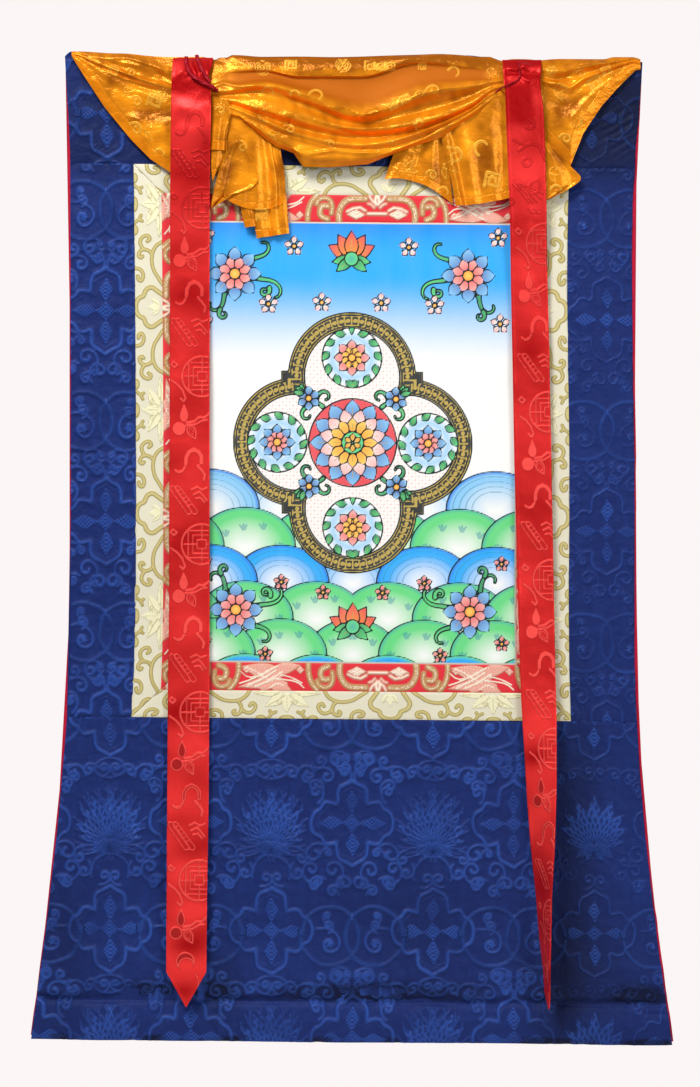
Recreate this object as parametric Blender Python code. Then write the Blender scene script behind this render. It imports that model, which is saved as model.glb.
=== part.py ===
"""A hanging scroll painting in a brocade mount, made piece by piece as a mount maker sews it.

Sizes are in millimetres. X runs right from the middle of the top edge, "drop" runs straight down
from it, and "proud" is how far a face stands in front of the plane of that edge. The front of
the scroll faces -Y. Flat sizes are those of the cut cloth, before it is hung.
"""

import math
from collections import namedtuple

import bmesh
import bpy

MM = 0.001
SEAM_GAP = 0.3           # what two sewn pieces keep between them
SEAM_HALF = SEAM_GAP / 2

# Thickness of each cloth
LINING_THICK = 1.0
MOUNT_THICK = 1.2
VEIL_THICK = 1.3
STREAMER_THICK = 1.2
TIE_RADIUS = 1.2

# The cut layout of the mount: half its width, and the seams measured down from the top edge
MOUNT_HALF = 284.0
TOP_SEAM = 107.7
BOTTOM_SEAM = 661.5
HEM_FOLD = 984.5
LINING_BOTTOM = 981.0
LINING_LAP = 1.8         # how far the lining looks out past the brocade at each side
LINING_GAP = 0.5

Frame = namedtuple("Frame", "left top right bottom")
CREAM_OUTER = Frame(left=-220.0, top=108.0, right=218.5, bottom=661.2)
RED_OUTER = Frame(left=-192.0, top=137.0, right=190.5, bottom=633.5)
CANVAS = Frame(left=-164.5, top=164.0, right=165.5, bottom=605.5)

# How the cut layout hangs: it is a little askew, its sides draw in below the top corners and
# flare under the bottom seam, and the top edge dips and rises along its length.
SKEW = 0.0095
TOP_EDGE_REACH = 100.0   # depth of cloth over which the uneven top edge dies out
BORDER_BOW = 2.5         # the left border draws in this much at its middle
BOW_WIDTH = 60.0

SideRow = namedtuple("SideRow", "drop left right")
SIDE_EDGES = (
    SideRow(drop=-8, left=-287.5, right=291),
    SideRow(drop=24, left=-286, right=289),
    SideRow(drop=102, left=-282, right=283),
    SideRow(drop=422, left=-282, right=282.5),
    SideRow(drop=642, left=-284, right=284),
    SideRow(drop=767, left=-294, right=292.5),
    SideRow(drop=872, left=-306, right=304.5),
    SideRow(drop=990, left=-322, right=321),
)

TopRow = namedtuple("TopRow", "x drop")
TOP_EDGE = (
    TopRow(x=-289, drop=0), TopRow(x=-281, drop=-6.5), TopRow(x=-243, drop=-4),
    TopRow(x=-178, drop=0), TopRow(x=-139, drop=2.5), TopRow(x=-92, drop=-1),
    TopRow(x=0, drop=0), TopRow(x=86, drop=-2.5), TopRow(x=137, drop=0),
    TopRow(x=150, drop=3.5), TopRow(x=208, drop=2.5), TopRow(x=280, drop=1),
    TopRow(x=292, drop=5),
)

# Slow waves of the hung cloth, each a height with its length across and down
Wave = namedtuple("Wave", "height across down phase")
CLOTH_WAVES = (
    Wave(height=1.5, across=390, down=1100, phase=0.4),
    Wave(height=0.9, across=240, down=-620, phase=1.9),
)
WAVE_AT_TOP = 0.25       # share of the waves left at the held edge
WAVE_FULL_DROP = 600.0

# Above the hem the brocade puffs out over a sewn crease, and the hem itself is softly filled
CREASE_DROP = 941.0
CREASE_DEPTH = 1.6
CREASE_WIDTH = 6.0
PUFF_DROP = 922.0
PUFF_HEIGHT = 5.0
PUFF_UP = 30.0           # how far the puff fades upward
PUFF_DOWN = 9.0          # and downward, into the crease
PUFF_LENGTH = 205.0
PUFF_LEVEL = 0.65        # share of the puff that is even along the hem
PUFF_SWING = 0.35        # and the share that comes and goes
PUFF_START = 1.0
HEM_MIDDLE = 962.0
HEM_FULLNESS = 2.6
HEM_SPREAD = 15.0

# Rows and columns of faces, and the bottom panel's rows as drops in the cut layout
TOP_ROWS = 4
SIDE_ROWS = 14
SIDE_COLUMNS = 3
STRIP_ROWS = 12
STRIP_COLUMNS = 2
CANVAS_COLUMNS = 8
MOUNT_COLUMNS = 22
SHARP_ANGLE = 50.0       # edges bent by more than this many degrees are creased
BOTTOM_ROWS = (700, 745, 790, 835, 872, 897, 912, 922, 931, 941, 949, 962, 974)
LINING_ROWS = (0, 50, 105, 180, 255, 330, 405, 480, 555, 625) + BOTTOM_ROWS

# The veil: one cloth, hung from the top edge and caught up at two gathers
VEIL_COLUMNS = 48
VEIL_TOP_PROUD = 1.65
FOLD_CROWDING = 0.9      # closest that two fold lines run where the cloth narrows
TOP_FOLD_BULK = 3.6      # the cloth lies thin at its sewn edge
HEAPED_FOLDS = 5         # and is fully bunched this many folds down
VeilEdge = namedtuple("VeilEdge", "x top bottom")
VEIL_EDGES = (
    VeilEdge(-280, -7, -1), VeilEdge(-268, -6.3, 18), VeilEdge(-247, -5, 50),
    VeilEdge(-220, -3.5, 83), VeilEdge(-201, -1.5, 102), VeilEdge(-180, 0, 116),
    VeilEdge(-160, 0.5, 108), VeilEdge(-141, 2.5, 58), VeilEdge(-112, 0, 61),
    VeilEdge(-89, -0.5, 81), VeilEdge(-74, -0.5, 91), VeilEdge(-58, 0, 97),
    VeilEdge(-49, 0, 110.4), VeilEdge(-22, 0, 111), VeilEdge(16, 0, 107.7),
    VeilEdge(40, 0, 98), VeilEdge(66, -2, 88.5), VeilEdge(88, -3, 82),
    VeilEdge(116, -1, 62), VeilEdge(148, 3.5, 44), VeilEdge(189, 3, 79),
    VeilEdge(218, 2.5, 108.5), VeilEdge(231, 2.5, 76), VeilEdge(249, 2, 49),
    VeilEdge(265, 1, 31), VeilEdge(283, 1, 13), VeilEdge(288, 2.5, 12),
)

# Each fold line of the veil from the top down: its drop at seven places along the swags, its
# share of the way down the side drapes, and how proud it stands there and in the swags.
VeilFold = namedtuple(
    "VeilFold", "name side gather_left near_left low_left middle near_right join gather_right "
    "side_proud swag_proud")
VEIL_FOLDS = (
    VeilFold("band", 0.07, 8, 7, 8, 8, 1, 4, 8, 5, 6),
    VeilFold("band_lip", 0.13, 16, 13.5, 19.5, 19.5, 5, 10, 13, 7, 10),
    VeilFold("under_lip", 0.17, 19, 16.5, 22, 22, 8, 14, 17, 5, 6.5),
    VeilFold("flat", 0.23, 28, 23, 30, 41, 24, 22, 22, 6, 10),
    VeilFold("ridge_high", 0.27, 37, 30.5, 38, 59.5, 40, 30, 25, 10, 17),
    VeilFold("valley_high", 0.33, 40, 35, 47, 67, 52, 39, 28, 6, 10),
    VeilFold("ridge_mid", 0.40, 43, 53, 63, 73.5, 68, 50, 31, 8, 19),
    VeilFold("valley_mid", 0.49, 45.5, 60, 72, 81.5, 73, 53, 34, 7, 12),
    VeilFold("ridge_low", 0.60, 48, 65, 80.5, 90, 78, 55.5, 36, 8, 21),
    VeilFold("crease_low", 0.70, 50.5, 70, 87, 96, 81.5, 57.5, 38, 8, 16),
    VeilFold("belly", 0.83, 53, 75, 94, 102, 85, 59.5, 40, 7, 17),
)
SWAG_STATIONS = (-139, -89, -52, 9, 66, 116, 148)
LEFT_DRAPE_STATIONS = (-280, -247, -212, -178)
RIGHT_DRAPE_STATIONS = (189, 218, 249, 288)
HEM_SIDE_PROUD = 5.0
HEM_SWAG_PROUD = 9.0

# Along the veil: the cloth bunched up behind the folds, how open the folds are, and how much
# of the column belongs to the swags rather than to a side drape
Gather = namedtuple("Gather", "x bulk openness swag")
VEIL_GATHERS = (
    Gather(-280, 3.2, 0.15, 0), Gather(-247, 5, 0.6, 0), Gather(-212, 6, 1, 0),
    Gather(-178, 8, 0.8, 0), Gather(-139, 13, 0.3, 0.5), Gather(-89, 13, 0.9, 1),
    Gather(-52, 13, 1, 1), Gather(66, 13, 1, 1), Gather(116, 13, 0.55, 1),
    Gather(148, 13, 0.3, 0.5), Gather(189, 9, 0.8, 0), Gather(223, 6, 1, 0),
    Gather(265, 5, 0.6, 0), Gather(288, 3.2, 0.2, 0),
)

# The two tails that drop from the gathers, as parts of the same cloth
TAIL_ROWS = 6
TAIL_CLEAR = 6.5         # mean stand-off of a tail's front
TAIL_SETTLES = 3.0       # it comes to that stand-off within one part in this many of its fall
TAIL_TOP_PLEAT = 0.4     # share of the pleats' depth at its top
TailEdge = namedtuple("TailEdge", "share x drop")
Tail = namedtuple("Tail", "start end pleats pleat_depth edge")
TAILS = (
    Tail(start=-141, end=-73, pleats=3.0, pleat_depth=2.6, edge=(
        TailEdge(0.0, -139, 153), TailEdge(0.16, -128, 143), TailEdge(0.33, -120, 157),
        TailEdge(0.5, -108, 168), TailEdge(0.66, -94, 179), TailEdge(0.83, -78, 178),
        TailEdge(1.0, -62.5, 176),
    )),
    Tail(start=38, end=220, pleats=4.5, pleat_depth=2.8, edge=(
        TailEdge(0.0, 33, 122), TailEdge(0.26, 80, 131), TailEdge(0.36, 98, 141),
        TailEdge(0.42, 105, 149), TailEdge(0.56, 130, 144), TailEdge(0.67, 149, 139),
        TailEdge(0.83, 194, 143), TailEdge(0.95, 219, 131), TailEdge(1.0, 228, 121),
    )),
)

# Each streamer from its sewn top to its cut point
STREAMER_COLUMNS = 4
STREAMER_STEP = 45.0     # longest row of faces where it hangs free
STREAMER_STEP_HIGH = 7.0     # and over the veil
STREAMER_HIGH = 150.0
STREAMER_CLEAR = 1.0     # from the veil's front to the streamer's back
StreamerRow = namedtuple("StreamerRow", "drop left right proud_left proud_right")
STREAMERS = {
    "streamer_left": (
        StreamerRow(0.5, -178.5, -138.5, 3.5, 3.5),
        StreamerRow(4, -178.8, -138.8, 6.5, 6.5),
        StreamerRow(8, -179, -139, 9, 9),
        StreamerRow(20, -179.3, -139.5, 13.5, 16),
        StreamerRow(35, -179.7, -139.8, 16, 19),
        StreamerRow(52, -180, -140, 16.5, 19.5),
        StreamerRow(75, -180.3, -140.5, 15, 18.5),
        StreamerRow(100, -180.8, -141, 13, 15),
        StreamerRow(125, -181.2, -141.5, 11, 11.5),
        StreamerRow(160, -181.5, -142, 8, 8),
        StreamerRow(210, -181.6, -142, 6, 6),
        StreamerRow(300, -182, -142, 5, 6),
        StreamerRow(420, -182.3, -142, 6, 7.5),
        StreamerRow(542, -182.5, -142, 7, 6),
        StreamerRow(642, -184, -142.4, 6, 7.5),
        StreamerRow(740, -184.5, -143, 8, 9),
        StreamerRow(840, -185, -144.5, 10, 11),
        StreamerRow(912, -185, -145, 14, 14),
        StreamerRow(946.5, -165.6, -164.6, 15, 15),
    ),
    "streamer_right": (
        StreamerRow(2.4, 150.2, 188.8, 3.6, 3.6),
        StreamerRow(5, 150.3, 188.9, 6.5, 6.5),
        StreamerRow(8, 150.4, 188.9, 9, 9),
        StreamerRow(20, 151, 189.3, 15, 13.5),
        StreamerRow(35, 152, 190, 18.5, 16),
        StreamerRow(52, 152.6, 190.7, 18.5, 16),
        StreamerRow(75, 153.5, 191.5, 17, 15),
        StreamerRow(100, 154.7, 192.4, 15, 14),
        StreamerRow(125, 155.8, 193, 13.5, 13.5),
        StreamerRow(152, 157, 193.8, 13, 12),
        StreamerRow(202, 158, 194.5, 8, 8),
        StreamerRow(300, 160, 197, 6, 6.5),
        StreamerRow(407, 162, 199, 6, 8),
        StreamerRow(562, 166, 202, 7, 9),
        StreamerRow(640, 168.6, 203.4, 7.5, 13),
        StreamerRow(680, 171, 203.3, 8, 20),
        StreamerRow(732, 174, 202.3, 8.5, 29),
        StreamerRow(785, 177.7, 200, 9.5, 35),
        StreamerRow(834, 182.9, 196.3, 11.5, 40),
        StreamerRow(879, 186.4, 195.1, 13, 42),
        StreamerRow(910, 190, 194.3, 15, 42),
        StreamerRow(930, 190.8, 195, 20.5, 35),
        StreamerRow(946.5, 194.2, 195, 27, 28),
    ),
}

# Each tie runs down over its streamer and out over the gather that it holds
TIE_CLEAR = 1.0          # from the cloth under it to the cord's skin, with the cloth's facets
TIE_REACH = 1.8          # a cord this close to the streamer's edge still lies over it
TIE_ROUNDNESS = 2
TIES = {
    "tie_left": ("streamer_left", (
        (-163, 0.5), (-164.5, 5), (-163.5, 12), (-160.5, 19), (-155.5, 24), (-149, 28),
        (-143, 31), (-138, 33.5), (-133.5, 36))),
    "tie_right": ("streamer_right", (
        (165, 3.2), (165.8, 8), (166.6, 15), (166.8, 21), (164, 25.5), (158, 28.5),
        (152.5, 31), (149.2, 32.6), (145.5, 34.5), (142.5, 37))),
}


def make_material(name, colour, roughness):
    """A plain cloth finish."""
    material = bpy.data.materials.new(name)
    material.use_nodes = True
    shader = material.node_tree.nodes["Principled BSDF"]
    shader.inputs["Base Color"].default_value = (*colour, 1.0)
    shader.inputs["Roughness"].default_value = roughness
    shader.inputs["Metallic"].default_value = 0.0
    return material


def between(low, high, share):
    """The value a share of the way from low to high."""
    return low + (high - low) * share


def read_line(stations, values, at):
    """Straight runs through the values at the stations."""
    if at <= stations[0]:
        return values[0]
    for i in range(1, len(stations)):
        if at <= stations[i]:
            share = (at - stations[i - 1]) / (stations[i] - stations[i - 1])
            return between(values[i - 1], values[i], share)
    return values[-1]


def read_curve(stations, values, at):
    """A smooth curve through the values at the stations, with no overshoot."""
    if at <= stations[0]:
        return values[0]
    if at >= stations[-1]:
        return values[-1]
    gaps = [b - a for a, b in zip(stations, stations[1:])]
    slopes = [(b - a) / gap for a, b, gap in zip(values, values[1:], gaps)]
    tangents = [slopes[0]]
    for i in range(1, len(slopes)):
        if slopes[i - 1] * slopes[i] <= 0:
            tangents.append(0.0)
        else:
            tangents.append((slopes[i] * gaps[i - 1] + slopes[i - 1] * gaps[i])
                            / (gaps[i - 1] + gaps[i]))
    tangents.append(slopes[-1])
    i = max(k for k in range(len(gaps)) if stations[k] <= at)
    t = (at - stations[i]) / gaps[i]
    start_weight = 2 * t**3 - 3 * t**2 + 1
    leave_weight = t**3 - 2 * t**2 + t
    arrive_weight = t**3 - t**2
    return (values[i] * start_weight + tangents[i] * gaps[i] * leave_weight
            + values[i + 1] * (1 - start_weight) + tangents[i + 1] * gaps[i] * arrive_weight)


def read_table(table, key, field, at, reader=read_curve):
    """Read one column of a table along another."""
    stations = [getattr(row, key) for row in table]
    values = [getattr(row, field) for row in table]
    return reader(stations, values, at)


def bell(offset, width):
    """A rounded bump of height 1 about offset 0."""
    return math.exp(-(offset / width) ** 2)


def cloth_wave(x, drop):
    """How far the slow waves carry the hung cloth back from its plane."""
    held = between(WAVE_AT_TOP, 1.0, min(max(drop / WAVE_FULL_DROP, 0.0), 1.0))
    turn = 2 * math.pi
    return held * sum(w.height * math.sin(turn * (x / w.across + drop / w.down) + w.phase)
                      for w in CLOTH_WAVES)


def hem_relief(x, drop):
    """How proud the puffed cloth above the crease and the hem below it stand."""
    offset = drop - PUFF_DROP
    puff = bell(offset, PUFF_DOWN if offset > 0 else PUFF_UP)
    turn = 2 * math.pi * x / PUFF_LENGTH + PUFF_START
    uneven = PUFF_LEVEL + PUFF_SWING * math.sin(turn)
    crease = bell(drop - CREASE_DROP, CREASE_WIDTH)
    hem = bell(drop - HEM_MIDDLE, HEM_SPREAD)
    return PUFF_HEIGHT * puff * uneven - CREASE_DEPTH * crease + HEM_FULLNESS * hem


def hang(flat_x, flat_drop):
    """Where a point of the cut layout hangs: x, drop and the depth of the mount's front face."""
    left = read_table(SIDE_EDGES, "drop", "left", flat_drop)
    right = read_table(SIDE_EDGES, "drop", "right", flat_drop)
    x = between(left, right, (flat_x + MOUNT_HALF) / (2 * MOUNT_HALF))
    middle = (CREAM_OUTER.top + CREAM_OUTER.bottom) / 2
    reach = (CREAM_OUTER.bottom - CREAM_OUTER.top) / 2
    bow = max(0.0, 1 - ((flat_drop - middle) / reach) ** 2)
    x += BORDER_BOW * bow * bell(flat_x - CREAM_OUTER.left, BOW_WIDTH)
    drop = flat_drop + SKEW * x
    fade = max(0.0, 1 - flat_drop / TOP_EDGE_REACH)
    drop += fade * (read_table(TOP_EDGE, "x", "drop", x) - SKEW * x)
    return x, drop, cloth_wave(x, drop) - hem_relief(x, flat_drop)


def cloth_object(name, columns, rows, place, thickness, material, left_out=None, square=True):
    """A closed sheet of cloth.

    place(column, row) gives the front face as x, depth and drop. The back lies straight behind
    it where square is true, which suits close folds, and otherwise along its normals.
    """
    mesh_builder = bmesh.new()
    bmesh.ops.create_grid(mesh_builder, x_segments=columns, y_segments=rows, size=0.5)
    if left_out:
        spare = [face for face in mesh_builder.faces if left_out(
            (face.calc_center_median().x + 0.5) * columns,
            (0.5 - face.calc_center_median().y) * rows)]
        bmesh.ops.delete(mesh_builder, geom=spare, context="FACES")
    for vertex in mesh_builder.verts:
        column = round((vertex.co.x + 0.5) * columns)
        row = round((0.5 - vertex.co.y) * rows)
        x, depth, drop = place(column, row)
        vertex.co = (x * MM, depth * MM, -drop * MM)
    bmesh.ops.triangulate(mesh_builder, faces=mesh_builder.faces[:], quad_method="SHORT_EDGE")
    mesh_builder.normal_update()
    front_is_forward = sum(face.normal.y for face in mesh_builder.faces) < 0
    steps = {}
    for vertex in mesh_builder.verts:
        outward = vertex.normal if front_is_forward else -vertex.normal
        steps[vertex.index] = (0.0, 1.0, 0.0) if square else tuple(-outward)
    marks = mesh_builder.verts.layers.int.new("mark")
    for vertex in mesh_builder.verts:
        vertex[marks] = vertex.index
    back = bmesh.ops.extrude_face_region(mesh_builder, geom=mesh_builder.faces[:])
    for vertex in [item for item in back["geom"] if isinstance(item, bmesh.types.BMVert)]:
        step = steps[vertex[marks]]
        for axis in range(3):
            vertex.co[axis] += step[axis] * thickness * MM
    mesh_builder.verts.layers.int.remove(marks)
    bmesh.ops.recalc_face_normals(mesh_builder, faces=mesh_builder.faces[:])
    mesh = bpy.data.meshes.new(name)
    mesh_builder.to_mesh(mesh)
    mesh_builder.free()
    mesh.materials.append(material)
    mesh.shade_smooth()
    mesh.set_sharp_from_angle(angle=math.radians(SHARP_ANGLE))
    cloth = bpy.data.objects.new(name, mesh)
    bpy.context.scene.collection.objects.link(cloth)
    return cloth


def mount_piece(name, corners, columns, row_drops, material):
    """A flat-cut piece of the mount, from four cut corners and the share down of each row."""
    top_left, top_right, bottom_right, bottom_left = corners

    def place(column, row):
        across = column / columns
        down = row_drops[row]
        start = [between(a, b, down) for a, b in zip(top_left, bottom_left)]
        end = [between(a, b, down) for a, b in zip(top_right, bottom_right)]
        x, drop, depth = hang(between(start[0], end[0], across), between(start[1], end[1], across))
        return x, depth, drop

    return cloth_object(name, columns, len(row_drops) - 1, place, MOUNT_THICK, material)


def even_rows(count):
    """Shares that part a length into equal rows."""
    return [row / count for row in range(count + 1)]


def rectangle(left, top, right, bottom):
    """The corners of an upright rectangle, clockwise from the top left."""
    return (left, top), (right, top), (right, bottom), (left, bottom)


def make_brocade_panels(material):
    """The blue mount: top, two sides and the flared bottom with its hem."""
    inner_left = CREAM_OUTER.left - SEAM_GAP
    inner_right = CREAM_OUTER.right + SEAM_GAP
    side_top = TOP_SEAM + SEAM_GAP
    side_bottom = BOTTOM_SEAM - SEAM_HALF
    mount_piece("panel_top", rectangle(-MOUNT_HALF, 0, MOUNT_HALF, TOP_SEAM),
                MOUNT_COLUMNS, even_rows(TOP_ROWS), material)
    mount_piece("panel_left", rectangle(-MOUNT_HALF, side_top, inner_left, side_bottom),
                SIDE_COLUMNS, even_rows(SIDE_ROWS), material)
    mount_piece("panel_right", rectangle(inner_right, side_top, MOUNT_HALF, side_bottom),
                SIDE_COLUMNS, even_rows(SIDE_ROWS), material)
    top = BOTTOM_SEAM + SEAM_HALF
    rows = [0.0] + [(drop - top) / (HEM_FOLD - top) for drop in BOTTOM_ROWS] + [1.0]
    mount_piece("panel_bottom", rectangle(-MOUNT_HALF, top, MOUNT_HALF, HEM_FOLD),
                MOUNT_COLUMNS, rows, material)


def make_border(prefix, outer, inner, material):
    """Four mitred strips between two frames, with a seam gap at the mitres and inner edge."""
    near = Frame(inner.left - SEAM_GAP, inner.top - SEAM_GAP,
                 inner.right + SEAM_GAP, inner.bottom + SEAM_GAP)
    mitre = SEAM_GAP
    sides = {
        "top": ((outer.left + mitre, outer.top), (outer.right - mitre, outer.top),
                (near.right - mitre, near.top), (near.left + mitre, near.top)),
        "bottom": ((near.left + mitre, near.bottom), (near.right - mitre, near.bottom),
                   (outer.right - mitre, outer.bottom), (outer.left + mitre, outer.bottom)),
        "left": ((outer.left, outer.top + mitre), (near.left, near.top + mitre),
                 (near.left, near.bottom - mitre), (outer.left, outer.bottom - mitre)),
        "right": ((near.right, near.top + mitre), (outer.right, outer.top + mitre),
                  (outer.right, outer.bottom - mitre), (near.right, near.bottom - mitre)),
    }
    for side, corners in sides.items():
        upright = side in ("left", "right")
        columns = STRIP_COLUMNS if upright else MOUNT_COLUMNS // 2
        rows = STRIP_ROWS if upright else STRIP_COLUMNS
        mount_piece(f"{prefix}_{side}", corners, columns, even_rows(rows), material)


def make_painting(material):
    """The painted canvas inside the borders."""
    mount_piece("painting", rectangle(*CANVAS), CANVAS_COLUMNS, even_rows(STRIP_ROWS), material)


def make_lining(material):
    """The red cloth behind the whole mount, a little wider than the brocade."""
    drops = list(LINING_ROWS) + [LINING_BOTTOM]

    def place(column, row):
        flat_drop = drops[row]
        lap = LINING_LAP * min(flat_drop / TOP_EDGE_REACH, 1.0)
        half = MOUNT_HALF + lap
        x, drop, depth = hang(between(-half, half, column / MOUNT_COLUMNS), flat_drop)
        return x, depth + MOUNT_THICK + LINING_GAP, drop

    cloth_object("lining", MOUNT_COLUMNS, len(drops) - 1, place, LINING_THICK, material)


def fold_drop(fold, x, top, bottom):
    """How low a fold line of the veil runs at x."""
    stations = []
    drops = []
    for station in LEFT_DRAPE_STATIONS + SWAG_STATIONS + RIGHT_DRAPE_STATIONS:
        stations.append(station)
        if station in SWAG_STATIONS:
            drops.append(fold[2 + SWAG_STATIONS.index(station)])
        else:
            high = read_table(VEIL_EDGES, "x", "top", station)
            low = read_table(VEIL_EDGES, "x", "bottom", station, read_line)
            drops.append(between(high, low, fold.side))
    in_drape = x < LEFT_DRAPE_STATIONS[-1] or x > RIGHT_DRAPE_STATIONS[0]
    if in_drape:
        return between(top, bottom, fold.side)
    return read_curve(stations, drops, x)


def veil_section(x):
    """The veil's fold lines at x from the top down, each as its drop and how proud it is."""
    top = read_table(VEIL_EDGES, "x", "top", x)
    bottom = read_table(VEIL_EDGES, "x", "bottom", x, read_line)
    bulk = read_table(VEIL_GATHERS, "x", "bulk", x)
    openness = read_table(VEIL_GATHERS, "x", "openness", x)
    swag = read_table(VEIL_GATHERS, "x", "swag", x)
    section = [(top, VEIL_TOP_PROUD)]
    crowding = min(FOLD_CROWDING, (bottom - top) / (len(VEIL_FOLDS) + 1))
    for number, fold in enumerate(VEIL_FOLDS):
        highest = top + (number + 1) * crowding
        lowest = bottom - (len(VEIL_FOLDS) - number) * crowding
        drop = min(max(fold_drop(fold, x, top, bottom), highest), lowest)
        proud = between(fold.side_proud, fold.swag_proud, swag)
        heaped = between(TOP_FOLD_BULK, bulk, min((number + 1) / HEAPED_FOLDS, 1.0))
        section.append((drop, between(heaped, proud, openness)))
    hem = between(HEM_SIDE_PROUD, HEM_SWAG_PROUD, swag)
    section.append((bottom, between(min(bulk, hem), hem, openness)))
    return section


def veil_proud(x, drop):
    """How proud the veil stands at a point of its swags or drapes."""
    section = veil_section(x)
    return read_line([line[0] for line in section], [line[1] for line in section], drop)


def tail_point(tail, x, fall, start_drop, start_proud):
    """A point of a tail: fall is the share of the way down from the swag to the tail's edge."""
    share = (x - tail.start) / (tail.end - tail.start)
    share = min(max(share, 0.0), 1.0)
    edge_x = read_table(tail.edge, "share", "x", share, read_line)
    edge_drop = read_table(tail.edge, "share", "drop", share, read_line)
    pleat = tail.pleat_depth * math.cos(2 * math.pi * tail.pleats * share)
    hanging = TAIL_CLEAR + pleat * between(TAIL_TOP_PLEAT, 1.0, fall)
    proud = between(start_proud, hanging, min(fall * TAIL_SETTLES, 1.0))
    return between(x, edge_x, fall), proud, between(start_drop, edge_drop, fall)


def make_veil(material):
    """The silk veil, one sheet with its swags, drapes and tails."""
    left = VEIL_EDGES[0].x
    right = VEIL_EDGES[-1].x
    body_rows = len(VEIL_FOLDS) + 1

    def column_x(column):
        return between(left, right, column / VEIL_COLUMNS)

    def tail_at(x):
        return next((tail for tail in TAILS if tail.start <= x <= tail.end), None)

    def left_out(column, row):
        reach = (right - left) / VEIL_COLUMNS / 2
        x = column_x(column)
        beside = tail_at(x - reach) and tail_at(x + reach)
        return row > body_rows and not beside

    def place(column, row):
        x = column_x(column)
        section = veil_section(x)
        drop, proud = section[min(row, body_rows)]
        if row > body_rows:
            fall = (row - body_rows) / TAIL_ROWS
            x, proud, drop = tail_point(tail_at(x), x, fall, drop, proud)
        return x, cloth_wave(x, drop) - proud, drop

    cloth_object("veil", VEIL_COLUMNS, body_rows + TAIL_ROWS, place, VEIL_THICK, material,
                 left_out=left_out)


def streamer_proud(name, x, drop):
    """How proud a streamer's front stands at a point: its own hang, or just over the veil."""
    rows = STREAMERS[name]
    left = read_table(rows, "drop", "left", drop, read_line)
    right = read_table(rows, "drop", "right", drop, read_line)
    share = min(max((x - left) / (right - left), 0.0), 1.0)
    proud = between(read_table(rows, "drop", "proud_left", drop),
                    read_table(rows, "drop", "proud_right", drop), share)
    if drop < STREAMER_HIGH:
        proud = max(proud, veil_proud(x, drop) + STREAMER_CLEAR + STREAMER_THICK)
    return proud


def make_streamer(name, material):
    """A red satin ribbon, sewn to the top edge and hanging free to its point."""
    rows = STREAMERS[name]
    drops = [rows[0].drop]
    for above, below in zip(rows, rows[1:]):
        longest = STREAMER_STEP_HIGH if below.drop < STREAMER_HIGH else STREAMER_STEP
        steps = math.ceil((below.drop - above.drop) / longest)
        drops += [between(above.drop, below.drop, step / steps) for step in range(1, steps + 1)]

    def place(column, row):
        drop = drops[row]
        left = read_table(rows, "drop", "left", drop, read_line)
        right = read_table(rows, "drop", "right", drop, read_line)
        x = between(left, right, column / STREAMER_COLUMNS)
        proud = rows[0].proud_left if row == 0 else streamer_proud(name, x, drop)
        return x, cloth_wave(x, drop) - proud, drop

    cloth_object(name, STREAMER_COLUMNS, len(drops) - 1, place, STREAMER_THICK, material,
                 square=False)


def make_tie(name, material):
    """A crimson cord that lies over its streamer and ends round the gather beside it."""
    streamer, route = TIES[name]
    rows = STREAMERS[streamer]
    curve = bpy.data.curves.new(name, "CURVE")
    curve.dimensions = "3D"
    curve.bevel_depth = TIE_RADIUS * MM
    curve.bevel_resolution = TIE_ROUNDNESS
    curve.use_fill_caps = True
    line = curve.splines.new("POLY")
    line.points.add(len(route) - 1)
    for point, (x, drop) in zip(line.points, route):
        on_streamer = rows[0].left - TIE_REACH <= x <= rows[0].right + TIE_REACH
        proud = veil_proud(x, drop)
        if on_streamer:
            proud = max(proud, streamer_proud(streamer, x, drop))
        proud += TIE_CLEAR + TIE_RADIUS
        depth = cloth_wave(x, drop) - proud
        point.co = (x * MM, depth * MM, -drop * MM, 1.0)
    curve.materials.append(material)
    tie = bpy.data.objects.new(name, curve)
    bpy.context.scene.collection.objects.link(tie)


def build():
    """Clear the scene and make every piece."""
    for thing in list(bpy.data.objects):
        bpy.data.objects.remove(thing, do_unlink=True)
    brocade = make_material("blue_brocade", (0.022, 0.045, 0.195), 0.5)
    cream = make_material("cream_brocade", (0.73, 0.67, 0.46), 0.5)
    red_gold = make_material("red_brocade", (0.72, 0.03, 0.04), 0.45)
    painted = make_material("painted_canvas", (0.12, 0.42, 0.78), 0.7)
    silk = make_material("yellow_silk", (0.88, 0.36, 0.01), 0.3)
    satin = make_material("red_satin", (0.6, 0.012, 0.018), 0.35)
    cord = make_material("crimson_cord", (0.36, 0.01, 0.05), 0.5)
    backing = make_material("red_lining", (0.5, 0.01, 0.03), 0.6)
    make_brocade_panels(brocade)
    make_border("cream", CREAM_OUTER, RED_OUTER, cream)
    make_border("red", RED_OUTER, CANVAS, red_gold)
    make_painting(painted)
    make_lining(backing)
    make_veil(silk)
    for name in STREAMERS:
        make_streamer(name, satin)
    for name in TIES:
        make_tie(name, cord)


build()
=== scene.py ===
import functools
import math

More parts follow.
